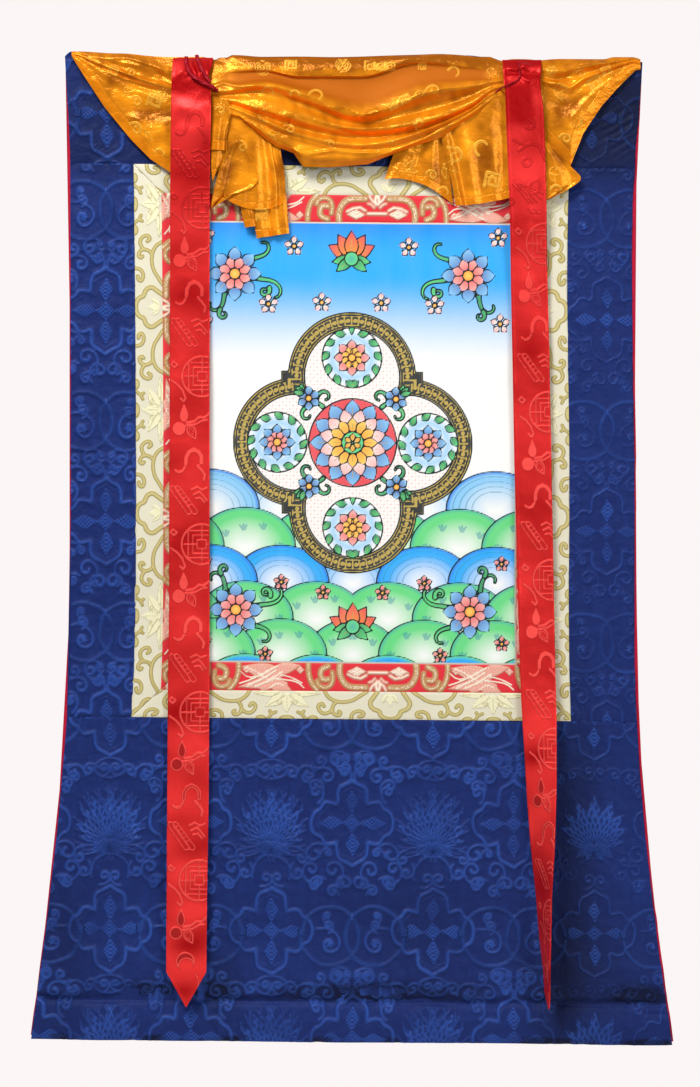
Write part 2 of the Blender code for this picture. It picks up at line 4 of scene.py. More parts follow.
import bmesh
import bpy
import numpy as np
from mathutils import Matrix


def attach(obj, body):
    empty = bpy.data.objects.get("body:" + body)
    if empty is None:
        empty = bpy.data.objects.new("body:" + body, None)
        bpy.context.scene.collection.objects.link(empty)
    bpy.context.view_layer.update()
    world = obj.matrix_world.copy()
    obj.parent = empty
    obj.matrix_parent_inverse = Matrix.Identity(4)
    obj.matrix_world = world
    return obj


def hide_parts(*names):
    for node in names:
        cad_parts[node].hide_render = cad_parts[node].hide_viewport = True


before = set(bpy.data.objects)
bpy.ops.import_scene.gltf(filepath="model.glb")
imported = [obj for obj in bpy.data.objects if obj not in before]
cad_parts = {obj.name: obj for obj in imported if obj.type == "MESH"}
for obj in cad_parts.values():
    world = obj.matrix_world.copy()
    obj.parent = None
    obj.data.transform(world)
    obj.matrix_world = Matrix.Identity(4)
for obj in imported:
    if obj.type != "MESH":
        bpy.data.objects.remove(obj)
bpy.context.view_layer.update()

# Sizes are in millimetres: x to the right, drop down from the top edge, depth away from the viewer.
mm = 0.001
far = 99.0          # a distance that is as good as none


def table(names, *rows):
    return dict(zip(names.split(), np.array(rows, float).T))


def each(columns):
    return zip(*columns.values())


def readCurve(stations, values, at):  # a smooth curve through the values, with no overshoot
    gaps = np.diff(stations)
    slopes = np.diff(values) / gaps
    tangents = np.concatenate([slopes[:1], slopes])
    mean = (slopes[:-1] * gaps[1:] + slopes[1:] * gaps[:-1]) / (gaps[:-1] + gaps[1:])
    tangents[1:-1] = np.where(slopes[:-1] * slopes[1:] <= 0, 0.0, mean)
    at = np.clip(at, stations[0], stations[-1])
    i = np.clip(np.searchsorted(stations, at, side="right") - 1, 0, len(gaps) - 1)
    t = (at - stations[i]) / gaps[i]
    start = 2 * t**3 - 3 * t**2 + 1
    leave = (t**3 - 2 * t**2 + t) * gaps[i] * tangents[i]
    arrive = (t**3 - t**2) * gaps[i] * tangents[i + 1]
    return values[i] * start + values[i + 1] * (1 - start) + leave + arrive


def read(rows, key, field, at, smooth=True):
    if smooth:
        return readCurve(rows[key], rows[field], at)
    return np.interp(at, rows[key], rows[field])


def between(low, high, share):
    return low + (high - low) * share


def ease(low, high, value):  # 0 at low, 1 at high, rounded at both ends
    t = np.clip((value - low) / (high - low), 0, 1)
    return t * t * (3 - 2 * t)


def bell(offset, width):
    return np.exp(-(offset / width) ** 2)


def turned(x, y, turn):  # a place, measured along a turned line and aside from it
    return x * math.cos(turn) + y * math.sin(turn), y * math.cos(turn) - x * math.sin(turn)


def wander(x, y, size, seed):  # slow unevenness of about -1 to 1, in lumps of that size
    total = 0.0
    for k in range(4):
        along, aside = turned(x, y, seed * 1.7 + k * 2.4)
        total = total + np.sin(along / size * (2.1 + 0.6 * k) + seed + 3 * k
                               + np.sin(aside / size * (1.3 + 0.4 * k) + 2 * seed))
    return total / 4


# Figures in the weave, as distances in millimetres that are negative inside

def nothing(x):  # a field without a figure
    return np.full(x.shape, far)


def least(*fields):
    return functools.reduce(np.minimum, fields)


def discField(x, y, radius, cx=0.0, cy=0.0):
    return np.hypot(x - cx, y - cy) - radius


def boxField(x, y, halfWide, halfHigh, cx=0.0, cy=0.0):
    return np.maximum(np.abs(x - cx) - halfWide, np.abs(y - cy) - halfHigh)


def leafField(x, y, cx, cy, heading, length, half, belly=0.8):  # a pointed leaf from its root
    along, aside = turned(x - cx, y - cy, math.radians(heading))
    along, aside = along / length, np.abs(aside)
    past = np.maximum(-along, along - 1) * length
    inside = aside - half * np.sin(np.pi * np.clip(along, 0, 1)**belly)
    return np.where(past > 0, np.hypot(past, aside), inside)


def fromLine(x, y, start, end):  # share along a straight line, and distance from it
    (ax, ay), (bx, by) = start, end
    dx, dy = bx - ax, by - ay
    share = np.clip(((x - ax) * dx + (y - ay) * dy) / (dx * dx + dy * dy), 0, 1)
    return share, np.hypot(x - ax - share * dx, y - ay - share * dy)


def strokeField(x, y, line, half, halfEnd=None):  # a drawn line with round ends
    line = np.asarray(line, float)
    halves = np.linspace(half, half if halfEnd is None else halfEnd, len(line))
    room = 8 + half
    low, high = line.min(axis=0) - room, line.max(axis=0) + room
    near = (x > low[0]) & (x < high[0]) & (y > low[1]) & (y < high[1])
    best = nothing(x[near])
    for start, end, first, last in zip(line, line[1:], halves, halves[1:]):
        share, away = fromLine(x[near], y[near], start, end)
        best = np.minimum(best, away - between(first, last, share))
    field = nothing(x)
    field[near] = best
    return field


def rounded(line, times=2):  # the same line with its corners cut away
    line = np.array(line, float)
    for _ in range(times):
        near = between(line[:-1], line[1:], 0.25)
        past = between(line[:-1], line[1:], 0.75)
        middle = np.stack([near, past], axis=1).reshape(-1, 2)
        line = np.concatenate([line[:1], middle, line[-1:]])
    return line


def strokes(x, y, lines, wider=0.0, times=0, halfEnd=None):  # each line starts with its half width
    return least(*(strokeField(x, y, rounded(points, times), half + wider, halfEnd)
                   for half, *points in lines))


def scrollLine(x, y, heading, length, bendStart, bendEnd, steps=13):  # degrees to the millimetre
    step = length / (steps - 1)
    line = [(x, y)]
    for k in range(steps - 1):
        turn = math.radians(heading)
        line.append((line[-1][0] + step * math.cos(turn), line[-1][1] + step * math.sin(turn)))
        heading += step * between(bendStart, bendEnd, (k + 0.5) / (steps - 1))
    return line


def scrollField(x, y, scrolls, half, halfEnd=None):
    return least(*(strokeField(x, y, scrollLine(*row), half, halfEnd) for row in each(scrolls)))


def wrap(value, period, start=0.0):  # places in a repeat, counted from its middle
    return (value - start + period / 2) % period - period / 2


# Finishes

class Wire:  # one socket, which takes part in sums
    def __init__(self, finish, socket):
        self.finish = finish
        self.socket = socket

    def reckon(self, operation, *others):
        return self.finish.sum(operation, self, *others)

    def __add__(self, other):
        return self.reckon("ADD", other)

    __radd__ = __add__

    def __mul__(self, other):
        return self.reckon("MULTIPLY", other)

    __rmul__ = __mul__

    def __sub__(self, other):
        return self.reckon("SUBTRACT", other)

    def __rsub__(self, other):
        return self.finish.sum("SUBTRACT", other, self)

    def __abs__(self):
        return self.reckon("ABSOLUTE")

    def wave(self):
        return self.reckon("SINE")

    def most(self, other):
        return self.reckon("MAXIMUM", other)

    def step(self, low, high):  # 0 at low and 1 at high
        return self.finish.node("ShaderNodeMapRange", {"interpolation_type": "SMOOTHSTEP"},
                                {"Value": self, "From Min": low, "From Max": high})


class Finish:  # a cloth's material
    def __init__(self, name, **constants):
        self.material = bpy.data.materials.new(name)
        self.material.use_nodes = True
        self.tree = self.material.node_tree
        self.shader = self.tree.nodes["Principled BSDF"]
        for socket, value in constants.items():
            self.shader.inputs[socket.replace("_", " ")].default_value = value

    def node(self, kind, settings=None, sockets=None, outlet=0):
        made = self.tree.nodes.new(kind)
        for name, value in (settings or {}).items():
            setattr(made, name, value)
        for name, value in (sockets or {}).items():
            if isinstance(value, Wire):
                self.tree.links.new(value.socket, made.inputs[name])
            else:
                made.inputs[name].default_value = value
        return Wire(self, made.outputs[outlet])

    def sum(self, operation, *values):
        return self.node("ShaderNodeMath", {"operation": operation}, dict(enumerate(values)))

    def mark(self, name):  # a number that the cloth carries
        return self.node("ShaderNodeAttribute", {"attribute_name": name}, outlet="Fac")

    def paint(self, name):  # a colour that the cloth carries
        return self.node("ShaderNodeAttribute", {"attribute_name": name}, outlet="Color")

    def mix(self, share, first, second):
        first = first if isinstance(first, Wire) else (*first, 1.0)
        second = second if isinstance(second, Wire) else (*second, 1.0)
        return self.node("ShaderNodeMix", {"data_type": "RGBA"},
                         {"Factor": share, 6: first, 7: second}, outlet=2)

    def layers(self, colour, *coats):  # each coat as its share and its colour
        for share, over in coats:
            colour = self.mix(share, colour, over)
        return colour

    def noise(self, scale, detail=2.0, stretch=(1, 1, 1)):
        place = self.node("ShaderNodeTexCoord", outlet="Object")
        place = self.node("ShaderNodeMapping", None, {"Vector": place, "Scale": stretch})
        return self.node("ShaderNodeTexNoise", None,
                         {"Vector": place, "Scale": scale, "Detail": detail}, outlet="Fac")

    def bump(self, height, distance):
        return self.node("ShaderNodeBump", None, {"Height": height, "Distance": distance})

    def set(self, **wires):
        for socket, wire in wires.items():
            self.tree.links.new(wire.socket, self.shader.inputs[socket.replace("_", " ")])

    def weave(self, across, down):  # threads, as rows of crests along each way of the cloth
        place = self.node("ShaderNodeUVMap", {"uv_map": "cut"})
        along = self.node("ShaderNodeSeparateXYZ", None, {"Vector": place})
        aside = Wire(self, along.socket.node.outputs[1])
        return (along * (math.tau / across)).wave() * (aside * (math.tau / down)).wave()


# Sheets

def closeUp(net):  # fills what is open with triangles, and turns every face outward
    rim = [edge for edge in net.edges if edge.is_boundary]
    ends = bmesh.ops.holes_fill(net, edges=rim, sides=0)["faces"]
    bmesh.ops.triangulate(net, faces=ends, ngon_method="EAR_CLIP")
    bmesh.ops.recalc_face_normals(net, faces=net.faces[:])


def toMesh(net, name):
    mesh = bpy.data.meshes.new(name)
    net.to_mesh(mesh)
    net.free()
    return mesh


def addObject(name, data):
    made = bpy.data.objects.new(name, data)
    bpy.context.scene.collection.objects.link(made)
    return made


def assign(piece, node):
    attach(piece, "root")
    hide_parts(node)


class Cloth:  # a closed sheet from a net of front points, rows of (x, depth, drop)
    def __init__(self, name, front, thick, backRows, relief=0.0, square=False):
        self.shape = front.shape[:2]
        rows, columns = self.shape[0] - 1, self.shape[1] - 1
        back = np.round(np.linspace(rows, 0, min(backRows, rows) + 1)).astype(int)
        netRow = np.concatenate([np.arange(rows + 1), back])
        lines = len(netRow) - 1
        net = bmesh.new()
        bmesh.ops.create_grid(net, x_segments=columns, y_segments=lines, size=0.5)
        flat = np.array([vertex.co[:2] for vertex in net.verts])
        line = np.round((0.5 - flat[:, 1]) * lines).astype(int)
        self.at = netRow[line], np.round((flat[:, 0] + 0.5) * columns).astype(int)
        outward = np.zeros_like(front)
        outward[..., 1] = -1.0
        if not square:
            outward = np.cross(np.gradient(front, axis=0), np.gradient(front, axis=1))
            outward /= np.linalg.norm(outward, axis=2, keepdims=True)
            outward *= -1.0 if outward[..., 1].mean() > 0 else 1.0
        lift = np.broadcast_to(relief, self.shape)[self.at]
        offset = np.where(line <= rows, lift, np.minimum(lift, 0) - thick)
        points = front[self.at] + outward[self.at] * offset[:, None]
        for vertex, (x, depth, drop) in zip(net.verts, points * mm):
            vertex.co = (x, depth, -drop)
        ends = [edge for edge in net.edges if edge.is_boundary
                and line[edge.verts[0].index] == line[edge.verts[1].index]]
        bmesh.ops.bridge_loops(net, edges=ends)
        closeUp(net)
        mesh = toMesh(net, name)
        mesh.shade_smooth()
        mesh.set_sharp_from_angle(angle=math.radians(60))
        self.piece = addObject(name, mesh)

    def mark(self, **marks):  # numbers that go with the points, for the finish to read
        for name, values in marks.items():
            made = self.piece.data.attributes.new(name, "FLOAT", "POINT")
            values = np.broadcast_to(values, self.shape)[self.at]
            made.data.foreach_set("value", values.astype(np.float32))

    def paint(self, name, colours):
        made = self.piece.data.attributes.new(name, "FLOAT_COLOR", "POINT")
        solid = np.ones((len(self.at[0]), 4), np.float32)
        solid[:, :3] = colours[self.at]
        made.data.foreach_set("color", solid.ravel())

    def cut(self, across, down):  # where each point lies on the flat cloth
        mesh = self.piece.data
        made = mesh.uv_layers.new(name="cut")
        corner = np.zeros(len(mesh.loops), np.int32)
        mesh.loops.foreach_get("vertex_index", corner)
        flat = np.stack([across[self.at], -down[self.at]], axis=1)
        made.data.foreach_set("uv", flat[corner].astype(np.float32).ravel())

    def dress(self, finish, node, slot, flat, held="hung", restsOn=("lining",), area=None):
        self.piece.data.materials.append(finish.material)
        assign(self.piece, node)
        width, length = flat
        width * mm
        length * mm
        None if area is None else area * mm * mm


# The mount's cut layout and how it hangs

mount = {
    "half": 284.0, "topSeam": 107.7, "bottomSeam": 661.5, "hemFold": 984.5, "thick": 1.2,
    "skew": 0.0095,
    "topReach": 100.0,   # how far down the uneven top edge is felt
    "bow": 2.5, "bowWidth": 60.0,   # the left border draws in at its middle
    "waveAtTop": 0.25, "waveFull": 600.0,
    "pull": (0.6, 8.0, 16.0),   # the right edge's unevenness: height, reach inward and lump
    "ruffle": (268.0, 70.0, 22.0, 26.0),   # gathers near the right edge: place and halves
    "sides": table(
        "drop left right", (-8, -287.5, 291), (24, -286, 289), (102, -282, 283), (422, -282, 282.5),
        (642, -284, 284), (767, -294, 292.5), (872, -306, 304.5), (990, -322, 321)),
    "top": table(
        "x drop", (-289, 0), (-281, -6.5), (-243, -4), (-178, 0), (-139, 2.5), (-92, -1), (0, 0),
        (86, -2.5), (137, 0), (150, 3.5), (208, 2.5), (280, 1), (292, 5)),
    "waves": table("height across down phase", (1.5, 390, 1100, 0.4), (0.9, 240, -620, 1.9)),
}
hem = {
    "crease": 941.0, "creaseDepth": 1.6, "creaseWidth": 6.0,
    "puff": 922.0, "puffHeight": 5.0, "puffUp": 30.0, "puffDown": 9.0, "puffLength": 205.0,
    "middle": 962.0, "fullness": 2.6, "spread": 15.0,
    "rightLine": (290.0, 953.0, 1.3, 0.03),   # a fine crease: place, depth and slope
    "ridge": (5.0, 2.6, 5.0), "groove": (3.0, 2.4, 3.0),   # above and below the crease
}
frames = {  # left, top, right and bottom of the borders' outer edges and of the canvas
    "cream": (-220.0, 108.0, 218.5, 661.2),
    "red": (-192.0, 137.0, 190.5, 633.5),
    "canvas": (-164.5, 164.0, 165.5, 605.5),
}


def clothWave(x, drop):
    held = between(mount["waveAtTop"], 1.0, np.clip(drop / mount["waveFull"], 0, 1))
    return held * sum(height * np.sin(math.tau * (x / across + drop / down) + phase)
                      for height, across, down, phase in each(mount["waves"]))


def hemRelief(x, drop):
    offset = drop - hem["puff"]
    puff = bell(offset, np.where(offset > 0, hem["puffDown"], hem["puffUp"]))
    uneven = 0.65 + 0.35 * np.sin(math.tau * x / hem["puffLength"] + 1.0)
    crease = bell(drop - hem["crease"], hem["creaseWidth"])
    return (hem["puffHeight"] * puff * uneven - hem["creaseDepth"] * crease
            + hem["fullness"] * bell(drop - hem["middle"], hem["spread"]))


def hang(flatX, flatDrop):
    left = read(mount["sides"], "drop", "left", flatDrop)
    right = read(mount["sides"], "drop", "right", flatDrop)
    x = between(left, right, (flatX + mount["half"]) / (2 * mount["half"]))
    creamLeft, creamTop, _, creamBottom = frames["cream"]
    middle, reach = (creamTop + creamBottom) / 2, (creamBottom - creamTop) / 2
    bow = np.maximum(0, 1 - ((flatDrop - middle) / reach) ** 2)
    x = x + mount["bow"] * bow * bell(flatX - creamLeft, mount["bowWidth"])
    height, inward, lump = mount["pull"]
    pull = height * bell(flatX - mount["half"], inward) * ease(20, 60, flatDrop)
    x = x + pull * wander(0 * x, flatDrop, lump, 6)
    drop = flatDrop + mount["skew"] * x
    fade = np.maximum(0, 1 - flatDrop / mount["topReach"])
    drop = drop + fade * (read(mount["top"], "x", "drop", x) - mount["skew"] * x)
    return np.stack([x, clothWave(x, drop) - hemRelief(x, flatDrop), drop], axis=-1)


def cutNet(corners, step):  # an even net over a cut piece, given its corners clockwise
    (ax, ay), (bx, by), (cx, cy), (dx, dy) = corners
    wide = max(bx - ax, cx - dx)
    high = max(dy - ay, cy - by)
    across, down = np.meshgrid(np.linspace(0, 1, round(wide / step) + 1),
                               np.linspace(0, 1, round(high / step) + 1))
    x = between(between(ax, dx, down), between(bx, cx, down), across)
    drop = between(between(ay, dy, down), between(by, cy, down), across)
    return x, drop


def edgeRound(x, drop, corners, sunk, width):  # a turned edge falls away to its seam
    field = nothing(x)
    for (ax, ay), (bx, by) in zip(corners, corners[1:] + corners[:1]):
        long = math.hypot(bx - ax, by - ay)
        field = np.minimum(field, np.abs((by - ay) * (x - ax) - (bx - ax) * (drop - ay)) / long)
    return -sunk * np.exp(-field / width)


# Blue damask: crosses, lotuses and linked rings among scrolls

damask = {
    "across": 161.5, "lineHalf": 2.0, "height": 0.9, "hatch": 3.6, "lotusDown": 105.0,
    "wobble": 1.1, "crossReach": 36.0, "lotusReach": (40.0, 42.0),
    "ring": (29.0, 58.5, 5.0),   # radius, and where its middle lies from a cross
    "blossom": (3.6, 58.5, 13.0),   # the same
    "bead": (9.6, 1.6, 55.0),   # radius, how flat it is, and its middle down from a cross
    "arch": (19.0, -56.0, -50.0),   # radius, its middle and its foot down from a cross
    "diamonds": ((0, 21, 7, 13), (0, -21, 7, 13), (21, 0, 13, 7), (0, 0, 9, 9)),
    "root": 15.0, "fan": (22.0, 24.0, 0.28),   # the hatch of a lotus: spread, middle and slope
    "places": {  # where a cross lies on each panel as it was cut, and its repeat down
        "panel_top": (-245.0, 59.0, 214.0), "panel_left": (-165.2, 360.8, 211.0),
        "panel_right": (174.2, 365.6, 212.0), "panel_bottom": (-242.0, 873.3, 216.0),
    },
    "cross": ((0, -43), (6, -39), (13, -36), (15.5, -29), (15, -18), (21, -21), (28, -21),
              (31, -14), (38, -11), (41, -4)),   # its upper half
    "lotus": (  # half width at the root, then points from the lotus's middle, drawn both ways
        (1.3, (1, 12), (4, -10), (2, -36)), (1.2, (2, 12), (12, -12), (11, -34)),
        (1.2, (4, 12), (20, -10), (22, -30)), (1.1, (5, 13), (25, -4), (30, -20)),
        (1.1, (6, 14), (26, 2), (36, -7)), (1.0, (8, 15), (25, 9), (35, 4)),
        (0.9, (-7, 6), (5, -18), (16, -32)), (0.9, (-12, 3), (-1, -22), (6, -35)),
        (0.9, (-3, 9), (16, -4), (28, -12)), (0.9, (-15, 8), (-4, -6), (9, -26)),
        (0.8, (10, 0), (22, -18), (26, -26)), (0.8, (-18, 2), (-8, -14), (-2, -30)),
        (1.3, (4, 16), (15, 21), (27, 22), (34, 19)), (1.3, (3, 17), (12, 27), (23, 31), (30, 30)),
        (1.1, (2, 18), (7, 29), (15, 36)), (0.9, (8, 18), (18, 26), (27, 27)),
        (0.9, (1, 18), (3, 28), (2, 36)), (0.8, (9, 12), (20, 15), (31, 13)),
    ),
    "petals": table(  # degrees from upright, drawn both ways
        "aside length half", (0, 52, 9), (24, 50, 8), (45, 46, 8), (66, 40, 8), (88, 34, 6),
        (128, 27, 6), (155, 23, 5)),
    "curlsA": table(  # counted from the crosses of one column
        "x y radius start hand", (6, 55, 4, 90, 1), (21, 58, 5, 200, 1), (37, 59, 6.5, 160, 1),
        (43, 71, 5, 20, -1), (6, -53, 5, 60, 1), (26, -58, 5, 240, -1), (40, -62, 6.5, 100, 1),
        (30, -72, 5, 250, 1), (44, -46, 5.5, 330, -1), (58, 13, 9.5, 230, 1), (57, -6, 4, 90, -1),
        (56, -15, 3, 120, 1), (66, 44, 6, 0, 1), (74, 52, 5, 210, -1)),
    "curlsB": table(  # and of the columns between
        "x y radius start hand", (19, 47, 8, 100, 1), (7, 60, 6.5, 60, -1), (38, 31, 8, 180, 1),
        (25, 30, 4, 30, -1), (20, 68, 4.5, 200, 1), (34, 58, 4, 0, 1), (8, -50, 4.5, 120, 1),
        (25, -46, 6, 330, -1), (36, -31, 5.5, 100, 1), (16, -63, 6, 210, 1), (5, -66, 3, 90, -1),
        (32, -62, 5, 30, 1), (46, -44, 4, 200, 1)),
}


def curlLine(cx, cy, radius, start, hand):  # a cloud hook that winds in from its tail
    turns = np.linspace(0, 1, 19)
    spin = np.radians(start + hand * 430 * turns)
    reach = radius * (1.2 - 0.85 * turns + 0.9 * np.exp(-7 * turns))
    return np.stack([cx + reach * np.cos(spin), cy + reach * np.sin(spin)], axis=1)


def damaskFields(x, drop, node):  # ridge lines, hatched parts and the hatch's two runs
    crossX, crossDrop, down = damask["places"][node]
    across = damask["across"]
    ridge, fill = nothing(x), nothing(x)
    slant, counter, faint = x + drop, x - drop, ease(150, 230, x)
    x, drop = (x + damask["wobble"] * wander(x, drop, 16, 2.5),
               drop + damask["wobble"] * wander(x, drop, 16, 6.5))
    upper = np.array(damask["cross"])
    cross = rounded(np.concatenate([upper, upper[::-1] * (1, -1)]))
    for odd, curls in enumerate((damask["curlsA"], damask["curlsB"])):
        px = np.abs(wrap(x, across, crossX + odd * across / 2))
        py = wrap(drop, down, crossDrop + odd * down / 2)
        ridge = least(ridge, strokeField(px, py, cross, damask["lineHalf"]),
                      strokeField(px, py, cross * (0.84, 0.86), 0.1),
                      *(strokeField(px, py, curlLine(*row), 1.3, 2.1) for row in each(curls)))
        for cx, cy, halfWide, halfHigh in damask["diamonds"]:
            diamond = abs(px - cx) / halfWide + abs(py - cy) / halfHigh - 1
            fill = np.minimum(fill, diamond * min(halfWide, halfHigh))
        nearCross = np.hypot(px, py) < damask["crossReach"]
        slant = np.where(nearCross, 0.9 * (px + py), slant)
        counter = np.where(nearCross, 0.9 * (px - py), counter)
    px, py = abs(wrap(x, across, crossX)), wrap(drop, down, crossDrop)
    reach, ringX, ringDrop = damask["ring"]
    ring = least(*(np.abs(discField(px, py, reach, middle, ringDrop))
                   for middle in (ringX, across - ringX)))
    turn = np.arctan2(py - ringDrop, px - ringX) * reach
    slant = np.where(ring < 4, 2 * turn + 2 * np.hypot(px - ringX, py - ringDrop), slant)
    counter = np.where(ring < 4, slant, counter)
    radius, cx, cy = damask["blossom"]
    blossom = discField(px, py, radius, cx, cy) - 1.2 * np.cos(5 * np.arctan2(py - cy, px - cx))
    radius, flat, cy = damask["bead"]
    bead = np.abs(np.hypot(px / flat, py - cy) - radius) - 1.0
    radius, cy, foot = damask["arch"]
    arch = np.where(py < foot, np.abs(discField(px, py, radius, 0, cy)) - 1.1, far)
    ridge = least(ridge, ring - 0.9, blossom, bead, arch)
    fill = np.minimum(fill, ring - 2.2)
    wide, high = wrap(x, across, crossX), wrap(drop, down, crossDrop - damask["lotusDown"])
    halfWide, halfHigh = damask["lotusReach"]
    near = (abs(wide) < halfWide) & (abs(high) < halfHigh)
    lx, ly = wide[near], high[near]
    lines = least(*(strokes(side, ly, damask["lotus"], 0, 1, 0.8) for side in (lx, -lx)))
    body = least(*(leafField(abs(lx), ly, 0, damask["root"], aside - 90, length, half)
                   for aside, length, half in each(damask["petals"])))
    ridge[near] = np.minimum(ridge[near], lines + 0.1)
    fill[near] = np.minimum(fill[near], body + 0.8)
    spread, middle, slope = damask["fan"]
    fan = spread * np.arctan2(lx, middle - ly) + 1.2 * wander(lx, ly, 8, 4)
    out = slope * np.hypot(lx, middle - ly)
    slant[near] = np.where(body < 3, fan + out, slant[near])
    counter[near] = np.where(body < 3, fan - out, counter[near])
    return ridge + 1.1 * faint, fill + 0.75 * faint, slant, counter


hemNotches = table(  # puckers along the fold of the hem, sunk into the relief and darkened with painted shade
    "x half depth", (-293, 7, 2.2), (-197, 10, 1.6), (-120, 11, 1.4), (-29, 8, 1.8), (40, 6, 0.8),
    (195, 21, 2.4), (240, 6, 1.0), (299, 19, 3.6))
creaseDents = table(  # hollows above the hem's crease, sunk into the relief and darkened with painted shade
    "x half depth", (-199, 21, 2.2), (-141, 24, 2.4), (-60, 20, 0.8), (20, 56, 2.4), (110, 25, 0.8),
    (200, 14, 0.7), (288, 25, 2.6))
paintedShadePatches = table(  # painted shade on the damask: where it turns from the light, and painted shadows of the veil and the right ribbon
    "x drop halfWide halfDrop amount", (270, 45, 60, 60, 1.0), (180, 60, 60, 45, 0.75),
    (-262, 58, 34, 52, 0.45), (0, 100, 240, 14, 0.8), (222, 780, 26, 150, 0.55),
    (205, 930, 30, 60, 0.5), (-132, 930, 20, 40, 0.4), (250, 905, 50, 60, 0.25), (60, 860, 90, 60, 0.2),
    (-290, 900, 30, 80, 0.3))


def patches(x, drop, places):  # each fades out from its middle
    return sum(amount * np.exp(-((x - px) / halfWide) ** 2 - ((drop - pd) / halfDrop) ** 2)
               for px, pd, halfWide, halfDrop, amount in each(places))


# painted shade and painted shadows on the damask, deepest in the hollows and puckers of the hem
def paintedShadeField(x, drop):
    paintedShade = patches(x, drop, paintedShadePatches)
    offset = drop - hem["crease"]
    for middle, half, depth in each(creaseDents):
        rough = 1 + 0.35 * wander(x, drop * 1.5, 9, middle)
        above = bell(offset + 6, 9) * ease(4, 1, offset)
        paintedShade = paintedShade + depth * 0.6 * bell(x - middle, half) * above * rough
    for middle, half, depth in each(hemNotches):
        rough = 1 + 0.6 * wander(x, drop, 6, middle)
        edge = ease(-8, -2, drop - mount["hemFold"])
        paintedShade = paintedShade + depth * bell(x - middle, half) * edge * rough
    return np.clip(paintedShade, 0, 1)


def seamPuckers(x, drop):  # small gathers along the seams that cross the mount
    near = bell(drop - mount["bottomSeam"], 9) + 0.7 * bell(drop - mount["topSeam"], 8)
    cx, cy, halfWide, halfDrop = mount["ruffle"]
    ruffle = bell(x - cx, halfWide) * bell(drop - cy, halfDrop)
    slope = np.sin((drop + 0.55 * x) * 0.75 + 1.5 * wander(x, drop, 25, 2.0))
    return 0.45 * near * wander(x, drop * 0.25, 9, 3.0) + 0.9 * ruffle * slope


def hemFinish(x, drop):
    lift = np.zeros(x.shape)
    offset = drop - hem["crease"]
    for middle, half, depth in each(hemNotches):
        rough = 1 + 0.35 * np.sin(x / 2.3 + middle)
        lift = lift - depth * bell(x - middle, half) * rough * ease(-5, 0, drop - mount["hemFold"])
    for middle, half, depth in each(creaseDents):
        uneven = 1 + 0.4 * wander(x, drop, 8, 5.0)
        lift = lift - depth * bell(x - middle, half) * bell(offset + 7, 6) * uneven
    cx, cy, deep, slope = hem["rightLine"]
    lift = lift - deep * bell(x - cx, 42) * bell(drop - cy - slope * (x - cx), 2.0)
    wrinkles = 0.35 * wander(x, drop * 1.6, 16, 2.0) * bell(offset, 24)
    sway = drop - 1.5 * wander(x, drop * 0, 50, 4) - hem["crease"]
    up, height, half = hem["ridge"]
    over = height * bell(sway + up, half) * (0.6 + 0.4 * wander(x, drop * 0, 38, 7))
    down, deep, half = hem["groove"]
    return lift + wrinkles + over - deep * bell(sway - down, half)


def blueDamask():
    finish = Finish("blueDamask", Roughness=0.42, Specular_IOR_Level=0.12)
    line, paintedShade = finish.mark("ridge").step(1.1, -1.7), finish.mark("paintedShade")
    runs = [(finish.mark(name) * (math.tau / damask["hatch"])).wave().step(-0.2, 0.7)
            for name in ("slant", "counter")]
    hatched = finish.mark("fill").step(0.8, -0.6) * (runs[0].most(runs[1]) * 0.75 + 0.25)
    # the figure's lighter blue is painted sheen, as its satin floats catch the light, and the noise
    # makes that sheen patchy; its lower roughness is real
    figure = line.most(hatched) * (finish.noise(22).step(0.35, 0.62) * 0.55 + 0.5)
    slub = finish.noise(160, 3.0, (1, 1, 0.2)) * finish.noise(120, 3.0, (0.25, 1, 1))
    ground = finish.mix(finish.noise(9), (0.0075, 0.0175, 0.108), (0.0105, 0.026, 0.148))
    # painted shade darkens the cloth under the figure and again over it
    colour = finish.layers(
        ground, (slub.step(0.2, 0.42) * 0.35, (0.014, 0.036, 0.19)),
        (paintedShade * 0.85, (0.0032, 0.0068, 0.034)), (figure * 0.85, (0.025, 0.072, 0.33)),
        (paintedShade * 0.55, (0.0025, 0.005, 0.024)))
    height = line + hatched * 0.6 + finish.weave(1.1, 1.1) * 0.03 + finish.noise(120) * 1.6
    finish.set(Base_Color=colour, Roughness=0.56 - figure * 0.18,
               Normal=finish.bump(height, 0.9 * mm))
    return finish


